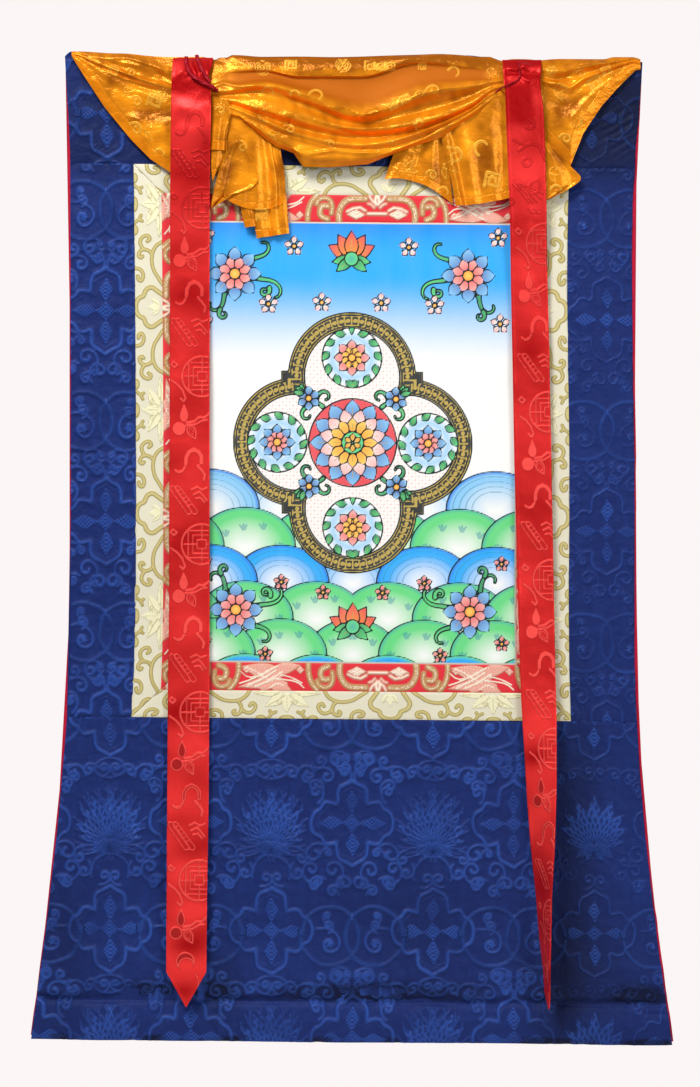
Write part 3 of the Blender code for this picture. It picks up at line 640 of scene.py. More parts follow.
def makeMount(finish):
    left, _, right, _ = frames["cream"]
    wide, high, low, fold = (mount[name] for name in ("half", "topSeam", "bottomSeam", "hemFold"))
    gap = 0.05
    pieces = {  # the net's step, then the corners
        "panel_top": (2.0, (-wide, 0), (wide, 0), (wide, high), (-wide, high)),
        "panel_left": (1.7, (-wide, high + gap), (left - gap, high + gap),
                       (left - gap, low - gap), (-wide, low - gap)),
        "panel_right": (1.7, (right + gap, high + gap), (wide, high + gap), (wide, low - gap),
                        (right + gap, low - gap)),
        "panel_bottom": (1.52, (-wide, low), (wide, low), (wide, fold), (-wide, fold)),
    }
    for node, (step, *corners) in pieces.items():
        x, drop = cutNet(corners, step)
        hung = hang(x, drop)[..., 0]
        ridge, fill, slant, counter = damaskFields(hung, drop, node)
        relief = damask["height"] * ease(2.0, -1.7, ridge) + 0.25 * ease(1, -1, fill)
        relief = relief + edgeRound(x, drop, corners, 0.7, 1.3) + seamPuckers(x, drop)
        relief = relief + 0.9 * wander(x, drop * 1.5, 50, 1.0) + 0.35 * wander(x, drop, 12, 4.0)
        if node == "panel_bottom":
            relief = relief + hemFinish(x, drop)
        cloth = Cloth(node + "_damask", hang(x, drop), mount["thick"], 16, relief)
        cloth.mark(ridge=ridge, fill=fill, slant=slant, counter=counter,
                   paintedShade=paintedShadeField(hung, drop))
        cloth.cut(x, drop)
        size = (corners[1][0] - corners[0][0], corners[2][1] - corners[1][1])
        cloth.dress(finish, node, "blue_brocade", size)
    print("mount made")


# Cream brocade: gold scrolls, cusped flowers and pale plumes

cream = {
    "repeat": 206.0, "flower": (38.0, 457.0),   # a flower's place along x and along the drop
    "gold": (  # half width, then points: along from a flower, and from the inner edge outward
        (1.9, (12, -15), (16, -9), (20.5, -3), (18, 3), (10.5, 5.5), (10, 9), (6, 12.5),
         (0, 13.5)),
        (1.5, (66, -15), (62, -8), (55, -4), (46, -3), (37, -5), (31, -9), (26, -12), (22, -15)),
        (1.5, (54, -3), (57, 0), (58, 5), (56, 9), (51, 10.5), (49, 7.5), (51, 6)),
        (1.5, (58, 5), (62, 8), (67, 8.5), (71, 5), (72, 0), (68, -2), (66, 1)),
        (1.5, (39, 14), (38, 8), (32, 5), (26, 7), (27, 10.5), (31, 11)),
        (1.3, (84, 14), (88, 9), (86, 6)), (1.3, (88, 9), (92, 7)),
    ),
    "domes": table("along half", (77, 5.5), (103, 8)),
    "leaves": table(
        "x y heading length half", (3, -9, 30, 22, 5.6), (0, -12, 90, 20, 6), (8, -13, 4, 26, 4)),
    "veins": ((0.3, (2, -9), (10, -4), (19, 1)), (0.3, (0, -8), (0, 4)),
              (0.3, (5, -3), (8, 0), (10.5, -2.5), (8.5, -4.5), (7, -2.5)),
              (0.3, (10, -12), (20, -12), (30, -11))),
}


def creamFields(along, aside):  # aside runs from the inner edge (negative) to the outer
    px = abs(wrap(along, cream["repeat"]))
    gold = strokes(px, aside, cream["gold"], 0.35, 1)
    for middle, half in each(cream["domes"]):
        gold = np.minimum(gold, (np.hypot((px - middle) / half, (aside - 14) / 4) - 1) * 4)
    leaf = np.minimum(leafField(px, aside, 0, -12, 90, 13, 3.2),
                      leafField(px, aside, 1, -11, 48, 11, 2.6))
    veins = strokeField(px, aside, ((2, -10), (5, -6), (7, -3)), 0.3)
    plumeX = abs(wrap(along, cream["repeat"], cream["repeat"] / 2))
    for row in each(cream["leaves"]):
        made = leafField(plumeX, aside, *row, 0.6)
        leaf, veins = np.minimum(leaf, made), np.minimum(veins, np.abs(made) - 0.2)
    return gold, leaf, np.minimum(veins, strokes(plumeX, aside, cream["veins"]))


def creamBrocade():
    finish = Finish("creamBrocade", Roughness=0.5, Specular_IOR_Level=0.25)
    gold, leaf = finish.mark("gold"), finish.mark("leaf")
    goldMask, leafMask = gold.step(0.4, -0.3), leaf.step(0.4, -0.3)
    outline = finish.mark("veins").step(0.35, 0.0) * leaf.step(1.2, 0.4)
    ground = finish.mix(finish.noise(14), (0.665, 0.625, 0.47), (0.755, 0.715, 0.555))
    colour = finish.layers(
        ground, (leafMask, (0.82, 0.78, 0.52)), (outline * 0.8, (0.50, 0.43, 0.22)),
        (goldMask, (0.40, 0.32, 0.095)), (gold.step(-0.6, -1.4) * 0.75, (0.64, 0.55, 0.25)))
    height = goldMask + leafMask * 0.8 - outline * 0.5 + finish.weave(0.9, 0.9) * 0.04
    finish.set(Base_Color=colour, Normal=finish.bump(height, 0.35 * mm),
               Roughness=0.55 - leafMask * 0.2 - goldMask * 0.1)
    return finish


# Red brocade: brown scroll frames, lotuses and pale clusters of leaves

redBand = {
    "repeat": 210.0, "lotus": (26.0, 462.0), "rings": ((-26, 4), (-9, -9), (14, 9), (24, -6)),
    "brown": (  # half width, then points: along from a lotus, and from the inner edge outward
        (2.7, (38, -15), (39, -6), (37, 1), (33, 7), (27, 10), (12, 10)),
        (2.4, (50, -11), (57, -8), (58, -2), (55, 3), (50, 2)),
        (2.0, (46, -5), (45, 3), (48, 9), (54, 11), (60, 8), (61, 4)),
        (2.2, (70, -15), (70, -4), (67, 6), (61, 13)),
    ),
    "pale": ((1.4, (0, -5), (9, -5)), (1.3, (12, -2), (17, 1), (24, 0), (30, -3)),
             (1.0, (3, 1), (6, 4), (9, 5)), (1.6, (1, 4), (2, 8), (1, 13)),
             (1.3, (3, 6), (6, 9), (8, 13))),
    "diamond": (21.0, -6.0, 1.9, 5.2), "small": (78.0, -7.0, 4.2), "lattice": 3.4,
    "clusters": table(  # pale leaves between the lotuses
        "x y heading length half", (10, -1, 192, 44, 8.5), (8, 3, 170, 44, 5.5), (-4, 2, 40, 40, 7),
        (0, -6, -12, 28, 6), (-8, 4, 110, 11, 9), (6, 4, 80, 11, 8)),
    "strokes": ((0.75, (-34, 7), (-22, 3), (-8, -4), (4, -11)), (0.75, (-26, 9), (-12, 3), (2, -6)),
                (0.75, (-18, 10), (-4, 4), (9, -5)), (0.7, (-33, -5), (-26, 1), (-16, 0)),
                (0.75, (2, 2), (14, 3), (24, 5), (31, 11)), (0.7, (8, -2), (20, 1), (29, 6)),
                (0.6, (-3, 11), (4, 6), (11, 9)), (0.6, (-28, -10), (-16, -4), (-6, 2))),
}


def redFields(along, aside):
    px = abs(wrap(along, redBand["repeat"]))
    brown = strokes(px, aside, redBand["brown"], 0.5, 1)
    cx, cy, flat, half = redBand["diamond"]
    diamond = (abs(px - cx) / flat + abs(aside - cy) - half) * 0.85
    lattice = np.maximum(*(np.abs(wrap((px - cx) / flat + way * (aside - cy), redBand["lattice"],
                                       redBand["lattice"] / 2)) * 0.8 for way in (1, -1))) - 1.15
    cx, cy, half = redBand["small"]
    small = abs(px - cx) + abs(aside - cy) - half
    lines = strokes(px, aside, redBand["pale"])
    cx = wrap(along, redBand["repeat"], redBand["repeat"] / 2)
    pale = least(diamond, small, lines - 0.6,
                 *(leafField(cx, aside, *row, 0.7) for row in each(redBand["clusters"])))
    cloud = least(*(np.hypot(cx - mx, aside - my) for mx, my in redBand["rings"]))
    rings = np.maximum(np.abs(wrap(cloud, 2.9, 0.6)) - 0.3, pale + 0.7)
    threads = least(np.where(diamond < 0, lattice, far), lines + 0.6, np.abs(small + 1.5) - 0.4,
                    np.where(abs(cx) < 42, rings, far),
                    strokes(cx, aside, redBand["strokes"], times=1))
    return brown, pale, threads


def redBrocade():
    finish = Finish("redBrocade", Roughness=0.5, Specular_IOR_Level=0.25)
    brown, pale = finish.mark("brown"), finish.mark("pale")
    brownMask, paleMask = brown.step(0.3, -0.3), pale.step(0.3, -0.3)
    threads = finish.mark("threads").step(0.3, -0.3)
    edge = abs(brown).step(0.8, 0.3).most(abs(pale).step(0.8, 0.3))
    core = abs(brown + 2.3).step(0.75, 0.3) * finish.noise(900, 0.0).step(0.35, 0.6)
    ground = finish.mix(finish.noise(18), (0.66, 0.022, 0.035), (0.78, 0.035, 0.048))
    colour = finish.layers(
        ground, (brownMask, (0.49, 0.265, 0.095)), (paleMask, (0.80, 0.36, 0.28)),
        (edge * 0.55, (0.48, 0.20, 0.11)), (threads.most(core * 0.8), (0.88, 0.76, 0.60)))
    height = brownMask + paleMask * 0.8 + threads * 0.8 - edge * 0.4
    finish.set(Base_Color=colour, Normal=finish.bump(height, 0.35 * mm))
    return finish


def makeBorder(name, inner, finish, fields, marks, start):
    left, top, right, bottom = frames[name]
    inLeft, inTop, inRight, inBottom = frames[inner]
    mitre, step = 0.18, 1.15
    strips = {
        "top": ((left + mitre, top), (right - mitre, top), (inRight - mitre, inTop),
                (inLeft + mitre, inTop)),
        "bottom": ((inLeft + mitre, inBottom), (inRight - mitre, inBottom),
                   (right - mitre, bottom), (left + mitre, bottom)),
        "left": ((left, top + mitre), (inLeft, inTop + mitre), (inLeft, inBottom - mitre),
                 (left, bottom - mitre)),
        "right": ((inRight, inTop + mitre), (right, top + mitre), (right, bottom - mitre),
                  (inRight, inBottom - mitre)),
    }
    for side, corners in strips.items():
        x, drop = cutNet(corners, step)
        upright = side in ("left", "right")
        along = (drop - start[1]) if upright else (x - start[0])
        edge = {"top": -drop + (top + inTop) / 2, "bottom": drop - (bottom + inBottom) / 2,
                "left": -x + (left + inLeft) / 2, "right": x - (right + inRight) / 2}[side]
        found = fields(along, edge)
        relief = 0.22 * sum(ease(0.8, -0.8, field) for field in found)
        relief = relief + edgeRound(x, drop, corners, 0.55, 0.9) + 0.3 * wander(x, drop, 30, 2.0)
        cloth = Cloth(f"{name}_{side}_brocade", hang(x, drop), mount["thick"],
                      200 if upright else 4, relief)
        cloth.mark(**{mark: np.clip(field, -far, far) for mark, field in zip(marks, found)})
        cloth.cut(x, drop)
        xs, ys = zip(*corners)
        shoelace = sum(ax * by - bx * ay for (ax, ay), (bx, by)
                       in zip(corners, corners[1:] + corners[:1]))
        cloth.dress(finish, f"{name}_{side}", name + "_brocade",
                    (max(xs) - min(xs), max(ys) - min(ys)), area=abs(shoelace) / 2)
    print(name, "border made")


# The veil's silk, with figures that the loom leaves in it

silkStrokes = {
    "fret": ((-0.9, 0.9), (-0.9, -0.9), (0.9, -0.9), (0.9, 0.6), (-0.4, 0.6), (-0.4, -0.35),
             (0.4, -0.35), (0.4, 0.15)),
    "curl": scrollLine(-1.1, 0.8, -50, 4.4, 30, 150, 22),
    "hook": scrollLine(-1.0, 0.6, -80, 2.8, 60, 95, 14),
}
veilFigures = (  # kind, x, drop, size and turn
    ("rings", -89, 11, 8, 0), ("fret", -61, 8, 6, 0), ("rings", -9, 8, 8, 0),
    ("fret", 18, 9, 5.5, 0), ("fret", 29, 9, 5, 180), ("fret", 38, 10, 5, 0),
    ("hook", -82, 34, 7, 10), ("hook", -56, 36, 6, -10), ("hook", -33, 36, 8, 20),
    ("curl", 79, 28, 7, -15), ("fret", 53, 44, 5.5, -25), ("fret", 41, 51, 4.5, -25),
    ("leaves", -96, 46, 7, 25), ("curl", 66, 34, 5, -20), ("hook", 104, 13, 7, 30),
    ("fret", 70, 10, 4, 0), ("leaves", 140, 16, 6, 60),
    ("curl", -213, 39, 6, 20), ("fret", -197, 44, 7, 20), ("leaves", -222, 34, 6, 30),
    ("rings", -190, 39, 7, 0), ("leaves", -199, 74, 8, 35), ("curl", -212, 66, 7, 30),
    ("hook", -190, 94, 6, 20), ("fret", -238, 14, 5, 25), ("curl", -219, 11, 5, 20),
    ("fret", 243, 27, 7, -30), ("leaves", 209, 33, 8, 20), ("curl", 213, 76, 6, 0),
    ("hook", 226, 68, 7, 130), ("hook", 229, 94, 7, 0), ("rings", 199, 14, 6, 0),
    ("fret", 254, 14, 5, -20), ("curl", 229, 12, 5, 0),
    ("curl", 108, 92, 9, 40), ("leaves", 99, 112, 9, 60), ("hook", 126, 88, 9, -60),
    ("curl", 80, 112, 6, 0), ("leaves", 58, 108, 8, -20), ("hook", 92, 131, 7, 0),
    ("leaves", 204, 116, 8, 40), ("hook", 206, 131, 7, 20), ("fret", 140, 124, 8, 10),
    ("curl", -131, 50, 5, 0), ("fret", -90, 158, 6, 0), ("curl", -106, 86, 6, 40),
    ("leaves", -86, 60, 7, 30), ("curl", -60, 68, 6, 20), ("leaves", -76, 78, 6, 25),
    ("leaves", 40, 84, 6, -20), ("curl", -20, 84, 5, 20), ("fret", 66, 68, 5, -30),
)


def silkFigure(x, drop):
    field = nothing(x)
    for kind, fx, fd, size, heading in veilFigures:
        near = np.hypot(x - fx, drop - fd) < size * 1.8
        if not near.any():
            continue
        u, v = turned((x[near] - fx) / size, (drop[near] - fd) / size, math.radians(heading))
        if kind == "rings":
            made = np.abs((np.hypot(u, v) * 3.2 + 0.5) % 1 - 0.5) / 3.2 - 0.08
            made = np.where(np.hypot(u, v) > 1.1, far, made)
        elif kind == "leaves":
            made = np.abs(least(leafField(u, v, -0.9, 0.5, -30, 1.9, 0.3),
                                leafField(u, v, -0.7, 0.6, -80, 1.3, 0.25),
                                leafField(u, v, -0.6, 0.7, 15, 1.3, 0.25))) - 0.07
        else:
            made = strokeField(u, v, silkStrokes[kind], 0.19, 0.14)
        field[near] = np.minimum(field[near], made * size)
    return field


silkEdges = table(
    "x top bottom", (-280, -7, -1), (-268, -6.3, 18), (-247, -5, 50), (-220, -3.5, 83),
    (-201, -1.5, 102), (-180, 0, 116), (-160, 0.5, 108), (-141, 2.5, 58), (-112, 0, 61),
    (-89, -0.5, 81), (-74, -0.5, 91), (-58, 0, 97), (-49, 0, 110.4), (-22, 0, 111), (16, 0, 107.7),
    (40, 0, 98), (66, -2, 88.5), (88, -3, 82), (116, -1, 62), (148, 3.5, 44), (189, 3, 79),
    (218, 2.5, 108.5), (231, 2.5, 76), (249, 2, 49), (265, 1, 31), (283, 1, 13), (288, 2.5, 12))
silkStations = (-280, -247, -212, -178, -139, -89, -52, 9, 66, 116, 148, 189, 218, 249, 288)
swags = slice(4, 11)   # the stations between the side drapes
silkFolds = {  # share down a drape; drops along the swags; proud in a drape and in the swags
    "band": (0.07, (8, 7, 8, 8, 1, 4, 8), 5, 6.5),
    "bandLip": (0.13, (16, 13.5, 19.5, 19.5, 5, 10, 13), 7, 8),
    "underLip": (0.17, (17.5, 15, 21, 21, 7, 12, 15), 5, 5),
    "flat": (0.23, (28, 23, 30, 41, 24, 22, 22), 6, 9),
    "ridgeHigh": (0.27, (37, 30.5, 38, 59.5, 40, 30, 25), 10, 17.5),
    "valleyHigh": (0.33, (40, 35, 47, 67, 52, 39, 28), 6, 10),
    "ridgeMid": (0.40, (43, 53, 63, 73.5, 68, 50, 31), 7, 19.5),
    "valleyMid": (0.49, (45.5, 60, 72, 81.5, 73, 53, 34), 7, 12),
    "ridgeLow": (0.60, (48, 65, 80.5, 90, 78, 55.5, 36), 8, 21),
    "creaseLow": (0.70, (50.5, 70, 87, 95.5, 81.5, 57.5, 38), 8, 17.5),
    "belly": (0.83, (53, 75, 94, 102, 85, 59.5, 40), 7, 18),
}
silkGathers = table(
    "x bulk open swag", (-280, 3.2, 0.15, 0), (-247, 5, 0.6, 0), (-212, 6, 1, 0), (-178, 8, 0.8, 0),
    (-139, 13, 0.3, 0.5), (-89, 13, 0.9, 1), (-52, 13, 1, 1), (66, 13, 1, 1), (116, 13, 0.55, 1),
    (148, 13, 0.3, 0.5), (189, 9, 0.8, 0), (223, 6, 1, 0), (265, 5, 0.6, 0), (288, 3.2, 0.2, 0))
creases = {  # soft lines in the silk: height, half width, then points as x and drop
    "swagHighA": (2.2, 2.2, (-146, 33), (-128, 27), (-112, 30.5), (-94, 31), (-73, 38),
                  (-52, 43), (-26, 52), (-5, 61)),
    "swagHighB": (1.8, 1.6, (-26, 50.6), (-5, 52.4), (9.4, 60.4), (24, 56), (40, 53)),
    "sidePeak": (3.0, 3.0, (40, 54), (66.6, 40), (90, 34), (111, 32.7), (130, 29)),
    "sideValley": (-2.5, 3.0, (46, 60), (80, 52), (104, 44), (128, 36)),
    "midSplit": (-2.2, 1.8, (-112, 45), (-89, 51), (-67, 58.5), (-33.4, 68.4), (0, 77), (20, 80)),
    "pocket": (-5.5, 3.2, (-68, 63), (-58, 67)),
    "pocketUp": (2.5, 3.0, (-72, 58), (-50, 62)),
    "lowSplit": (-1.6, 1.5, (-101, 60), (-76, 76), (-51, 82.5), (-19, 91), (9, 93), (45, 90),
                 (66, 84), (90, 70)),
    "bellyLine": (1.8, 1.6, (-70, 90), (-45, 99), (-16, 95), (2, 97.5), (38, 97)),
    "bellyFold": (1.6, 2.0, (-100, 66), (-86, 82), (-62, 95), (-40, 103), (-10, 104)),
    "drapeMainA": (2.6, 2.2, (-268, -2), (-254, 4), (-230, 15), (-213, 22.5), (-178, 32)),
    "drapeMainB": (1.8, 1.4, (-256, 10), (-228, 22), (-212, 26.5), (-178, 35)),
    "drapeValley": (-1.8, 2.4, (-257, 7.2), (-236, 14), (-200, 29), (-178, 36)),
    "drapeUpper": (1.8, 2.0, (-248, 0.4), (-223, 0.5), (-207, 5.7), (-194, 10.3), (-178, 22)),
    "drapeUpperValley": (-1.6, 2.4, (-213, 8), (-198, 12), (-178, 25)),
    "drapeSoft": (1.4, 5.0, (-262, 8), (-236, 26), (-210, 37), (-178, 46)),
    "drapeSoftLow": (1.6, 7.0, (-225, 56), (-205, 68), (-178, 76)),
    "drapeHollow": (-1.6, 8.0, (-238, 42), (-212, 54), (-178, 58)),
    "rightTopA": (2.0, 1.6, (189, 15), (208, 13), (225, 5), (260, 2.5)),
    "rightTopB": (2.2, 1.6, (189, 18), (208, 15.4), (234, 9.4), (261, 4.2)),
    "rightValley": (-2.0, 2.2, (189, 24), (208, 21.5), (216.6, 17.2), (223.5, 13.7)),
    "rightRidge": (2.0, 2.6, (189, 30), (208, 26.7), (234, 20.6), (256, 14.6)),
    "rightSoft": (1.5, 8.0, (195, 74), (214, 66), (236, 48)),
    "rightHollow": (-1.5, 9.0, (192, 54), (214, 48), (240, 32)),
}


def veilSections(x):  # the fold lines of the silk down each column: drops and prouds
    top = read(silkEdges, "x", "top", x)
    bottom = read(silkEdges, "x", "bottom", x, smooth=False)
    bulk, spread, swag = (read(silkGathers, "x", name, x) for name in ("bulk", "open", "swag"))
    stations = np.array(silkStations, float)
    high = read(silkEdges, "x", "top", stations)
    low = read(silkEdges, "x", "bottom", stations, smooth=False)
    drops, prouds = [top], [np.full(x.shape, 1.6)]
    crowd = np.minimum(0.9, (bottom - top) / (len(silkFolds) + 1))
    for number, (share, runs, side, full) in enumerate(silkFolds.values()):
        values = between(high, low, share)
        values[swags] = runs
        onSwags = (x >= stations[swags.start - 1]) & (x <= stations[swags.stop])
        drop = np.where(onSwags, readCurve(stations, values, x), between(top, bottom, share))
        drop = np.clip(drop, top + (number + 1) * crowd,
                       bottom - (len(silkFolds) - number) * crowd)
        heaped = between(3.6, bulk, min((number + 1) / 5, 1.0))
        drops.append(drop)
        prouds.append(between(heaped, between(side, full, swag), spread))
    hem = between(5.0, 12.0, swag)
    drops.append(bottom)
    prouds.append(between(np.minimum(bulk, hem), hem, spread))
    return np.array(drops), np.array(prouds), swag


def creaseRelief(x, drop, lines):  # each line rises from nothing, runs on and dies out
    lift = np.zeros(x.shape)
    for height, half, *points in lines.values():
        best, reached = nothing(x), np.zeros(x.shape)
        for i, (start, end) in enumerate(zip(points, points[1:])):
            share, away = fromLine(x, drop, start, end)
            reached = np.where(away < best, i + share, reached)
            best = np.minimum(best, away)
        last = len(points) - 1
        fade = ease(-0.05, 0.7, reached) * ease(last + 0.05, last - 0.7, reached)
        lift = lift + height * bell(best, half) * fade
    return lift


def veilProud(x, drop):  # how proud the swags and drapes stand at single points
    drops, prouds, _ = veilSections(np.atleast_1d(np.asarray(x, float)))
    return np.array([readCurve(down, proud, np.array([at]))[0]
                     for down, proud, at in zip(drops.T, prouds.T, np.atleast_1d(drop))])


veilTop = table(  # the uneven top edge of the silk, rolled over the mount's
    "x drop", (-281.7, -6.5), (-266, -6.2), (-243, -4.6), (-223, -4), (-205, -2), (-178, -0.6),
    (-150, -0.8), (-141, 1.2), (-137, 2), (-131, 0), (-126, 0), (-119, -2.6), (-112, -2.4), (-90, -0.9),
    (-52, -1.2), (-20, -0.7), (0, -1), (40, -2.4), (68, -3.2), (86, -3.8), (110, -2.6), (128, -1),
    (137, -1), (143, 1), (150, 3), (158, 1.6), (171, 1.4), (189, 2.4), (199, 1.6), (208, 1.2),
    (235, 1.4), (251, 1.5), (262, -0.6), (280, -0.6), (288, 1.4))


def veilBody():
    columns = 430
    x = np.linspace(silkEdges["x"][0], silkEdges["x"][-1], columns + 1)
    drops, prouds, swag = veilSections(x)
    steps = (4, 6, 2, 6, 9, 6, 6, 7, 7, 6, 7, 8)   # rows of the net from each fold line to the next
    lines = np.concatenate([[0]] + [np.arange(1, n + 1) / n + i for i, n in enumerate(steps)])
    drop = np.stack([np.interp(lines, np.arange(len(drops)), line) for line in drops.T], axis=1)
    proud = np.stack([readCurve(drops[:, i], prouds[:, i], drop[:, i])
                      for i in range(columns + 1)], axis=1)
    raised = np.minimum(read(veilTop, "x", "drop", x) - drops[0], 0.4)
    drop = drop + raised * ease(7, 0, drop - drops[0])
    flatX = np.broadcast_to(x, drop.shape)
    section = np.interp(lines, (2, 3, 4, 5), (0, 1, 1, 0))[:, None]
    # the smooth layer below the band: matte, calmer in relief, and painted darker as shade where it
    # turns from the light
    dullAndShaded = ease(0.1, 0.9, section) * ease(0.5, 0.9, swag)
    # how steeply the silk faces down under a fold, where it is given painted shade
    underShade = np.clip(-np.gradient(proud, axis=0) / np.maximum(np.gradient(drop, axis=0), 0.2), 0, 2)
    bottom = drop[-1] - drop
    room = ease(0, 5, drop - drop[0]) * ease(-0.5, 5, bottom)
    calm = 1 - 0.8 * dullAndShaded
    lift = creaseRelief(flatX, drop, creases) + 0.6 * wander(flatX, drop * 2.2, 26, 3) * calm
    proud = proud + lift * room + 0.3 * wander(flatX, drop * 1.5, 8, 6) * room * calm
    onSide = (1 - swag) * ((flatX < -150) | (flatX > 195))
    hem = np.where(onSide > 0.5, bottom / np.sqrt(1 + np.gradient(drops[-1], x)**2), far)
    return flatX, drop, np.maximum(proud, 1.4), underShade, hem, dullAndShaded


def ribs(*rows):
    return table("left leftDrop right rightDrop proudLeft proudRight", *rows)


tails = {  # each layer: ribs down it, then folds across it
    "leftBack": {
        "ribs": ribs(
            (-112, 72, -75, 78, 7, 7), (-108, 100, -70, 100, 6.5, 6), (-102, 140, -65, 145, 6, 6),
            (-98.5, 160, -64, 160, 6, 6), (-95, 181, -62.7, 176, 6, 5.5)),
        "folds": ((0.2, 0.18, 1.2, 0.1), (0.5, 0.45, -2.2, 0.05), (0.62, 0.62, 1.2, 0.08),
                  (0.85, 0.9, 1.3, 0.07)),
    },
    "leftTube": {
        "ribs": ribs(
            (-112, 120, -98, 120, 7.5, 7.5), (-111, 150, -98, 148, 7.5, 7.5),
            (-107, 170.5, -95, 169, 7, 7)),
        "curl": 2.0, "folds": ((0.4, 0.45, 0.8, 0.1),),
    },
    "leftUpper": {
        "ribs": ribs(
            (-128, 44, -74, 70, 10.5, 10), (-124, 80, -71.5, 95, 10, 9),
            (-126, 110, -68, 110, 9.5, 8.5), (-128, 132, -66.5, 128, 9.5, 8.5),
            (-127.5, 141, -68, 146.5, 9.5, 8.5)),
        "low": 9.0,
        "folds": ((0.72, 0.78, -2.2, 0.03), (0.8, 0.86, 1.4, 0.04), (0.87, 0.93, -1.8, 0.03),
                  (0.5, 0.55, 1.3, 0.12), (0.3, 0.3, 1.5, 0.1), (0.62, 0.66, -1.0, 0.06)),
    },
    "leftLeaf": {
        "ribs": ribs(
            (-113, 84, -111, 84.5, 14, 14), (-122, 93, -103, 96, 13, 13),
            (-130, 108, -96, 111, 12, 12.5), (-135, 124, -93, 121, 12, 12),
            (-139, 141, -103, 133, 11, 12), (-139.8, 149, -127, 140, 11, 12.5),
            (-139.6, 152.5, -138.6, 151.5, 11, 11)),
        "facets": ((0.45, 0.52, -4.5, 0.5), (0.02, 0.05, 2.0, 0.3)),
        "folds": ((0.2, 0.22, 0.8, 0.06),),
    },
    "leftInner": {
        "ribs": ribs(
            (-140, 84, -124, 84, 11.5, 11.5), (-140.2, 105, -124, 108, 11.5, 11),
            (-139, 125, -133, 112, 11, 11)),
        "folds": ((0.3, 0.3, 1.5, 0.15), (0.7, 0.7, -1.4, 0.12)),
    },
    "leftRoll": {
        "ribs": ribs(
            (-141, 39, -122, 46, 13, 14), (-141.5, 50, -119.5, 56, 13, 15),
            (-141.8, 62, -123, 66, 12.5, 14.5), (-142, 80, -125.5, 82, 12.5, 14),
            (-142, 93.5, -126, 94.5, 12.5, 14)),
        "curl": 2.6, "folds": ((0.55, 0.5, 1.2, 0.08), (0.75, 0.72, -1.0, 0.05)),
    },
    "rightBack": {
        "ribs": ribs(
            (50, 78, 92, 76, 8, 8), (42, 96, 95, 96, 7, 7), (36, 112, 98, 122, 6.5, 5),
            (32.6, 122, 101, 147, 6.5, 3.5)),
        "low": -9.0,
        "folds": ((0.3, 0.12, 1.8, 0.09), (0.55, 0.42, -2.2, 0.07), (0.75, 0.62, 2.0, 0.09),
                  (0.85, 0.86, -1.5, 0.08)),
    },
    "rightWing": {
        "ribs": ribs(
            (86, 70, 166, 30, 10, 14), (90, 84, 169, 60, 10, 12), (95, 106, 171, 90, 9.5, 10),
            (100, 130, 172, 120, 9, 8.5), (103.5, 149, 172, 137, 9, 8)),
        "low": 2.0,
        "folds": ((0.03, 0.07, 2.6, 0.05), (0.13, 0.16, -2.0, 0.04), (0.22, 0.3, 1.6, 0.08),
                  (0.5, 0.36, -1.4, 0.1), (0.58, 0.6, 1.8, 0.1), (0.8, 0.66, -1.8, 0.09),
                  (0.86, 0.84, 1.6, 0.08), (0.93, 0.97, -1.2, 0.05)),
    },
    "rightTip": {
        "ribs": ribs(
            (184, 78, 191.5, 82, 10, 9), (183, 100, 218, 110, 9.5, 9), (184, 125, 228, 120.9, 9, 8.5),
            (187, 140, 221, 129, 9, 9), (193, 143.4, 196, 142.8, 9, 9)),
        "folds": ((0.5, 0.55, 1.6, 0.12), (0.8, 0.8, -1.0, 0.08)),
    },
}


def tailLayer(name, step=1.5):
    plan = tails[name]
    ribs = plan["ribs"]
    drops = (ribs["leftDrop"] + ribs["rightDrop"]) / 2
    high = drops[-1] - drops[0]
    wide = np.max(ribs["right"] - ribs["left"])
    across, down = np.meshgrid(np.linspace(0, 1, max(6, round(wide / step)) + 1),
                               np.linspace(0, 1, max(6, round(high / step)) + 1))
    place = down * (len(drops) - 1)
    at = {field: readCurve(np.arange(len(drops), dtype=float), ribs[field], place)
          for field in ribs}
    x = between(at["left"], at["right"], across)
    bow = 4 * across * (1 - across)
    drop = between(at["leftDrop"], at["rightDrop"], across) + plan.get("low", 0.0) * bow * down
    proud = between(at["proudLeft"], at["proudRight"], across)
    proud = proud + plan.get("curl", 0.0) * (np.sqrt(np.clip(bow, 0, 1)) - 0.5)
    for start, end, height, half in plan.get("facets", ()):
        away = np.abs(across - between(start, end, down))
        proud = proud + height * np.maximum(0, 1 - away / half) * ease(-0.2, 0.3, down)
    for start, end, height, half in plan["folds"]:
        fold = bell(across - between(start, end, down), half)
        proud = proud + height * fold * ease(-0.3, 0.5, down)
    proud = proud + 0.5 * wander(x, drop, 14, len(name)) + 0.25 * wander(x, drop, 6, 2)
    return x, drop, proud, 0.0, (1 - down) * high, 0.0   # neither under a fold nor on the dull layer, so without painted shade


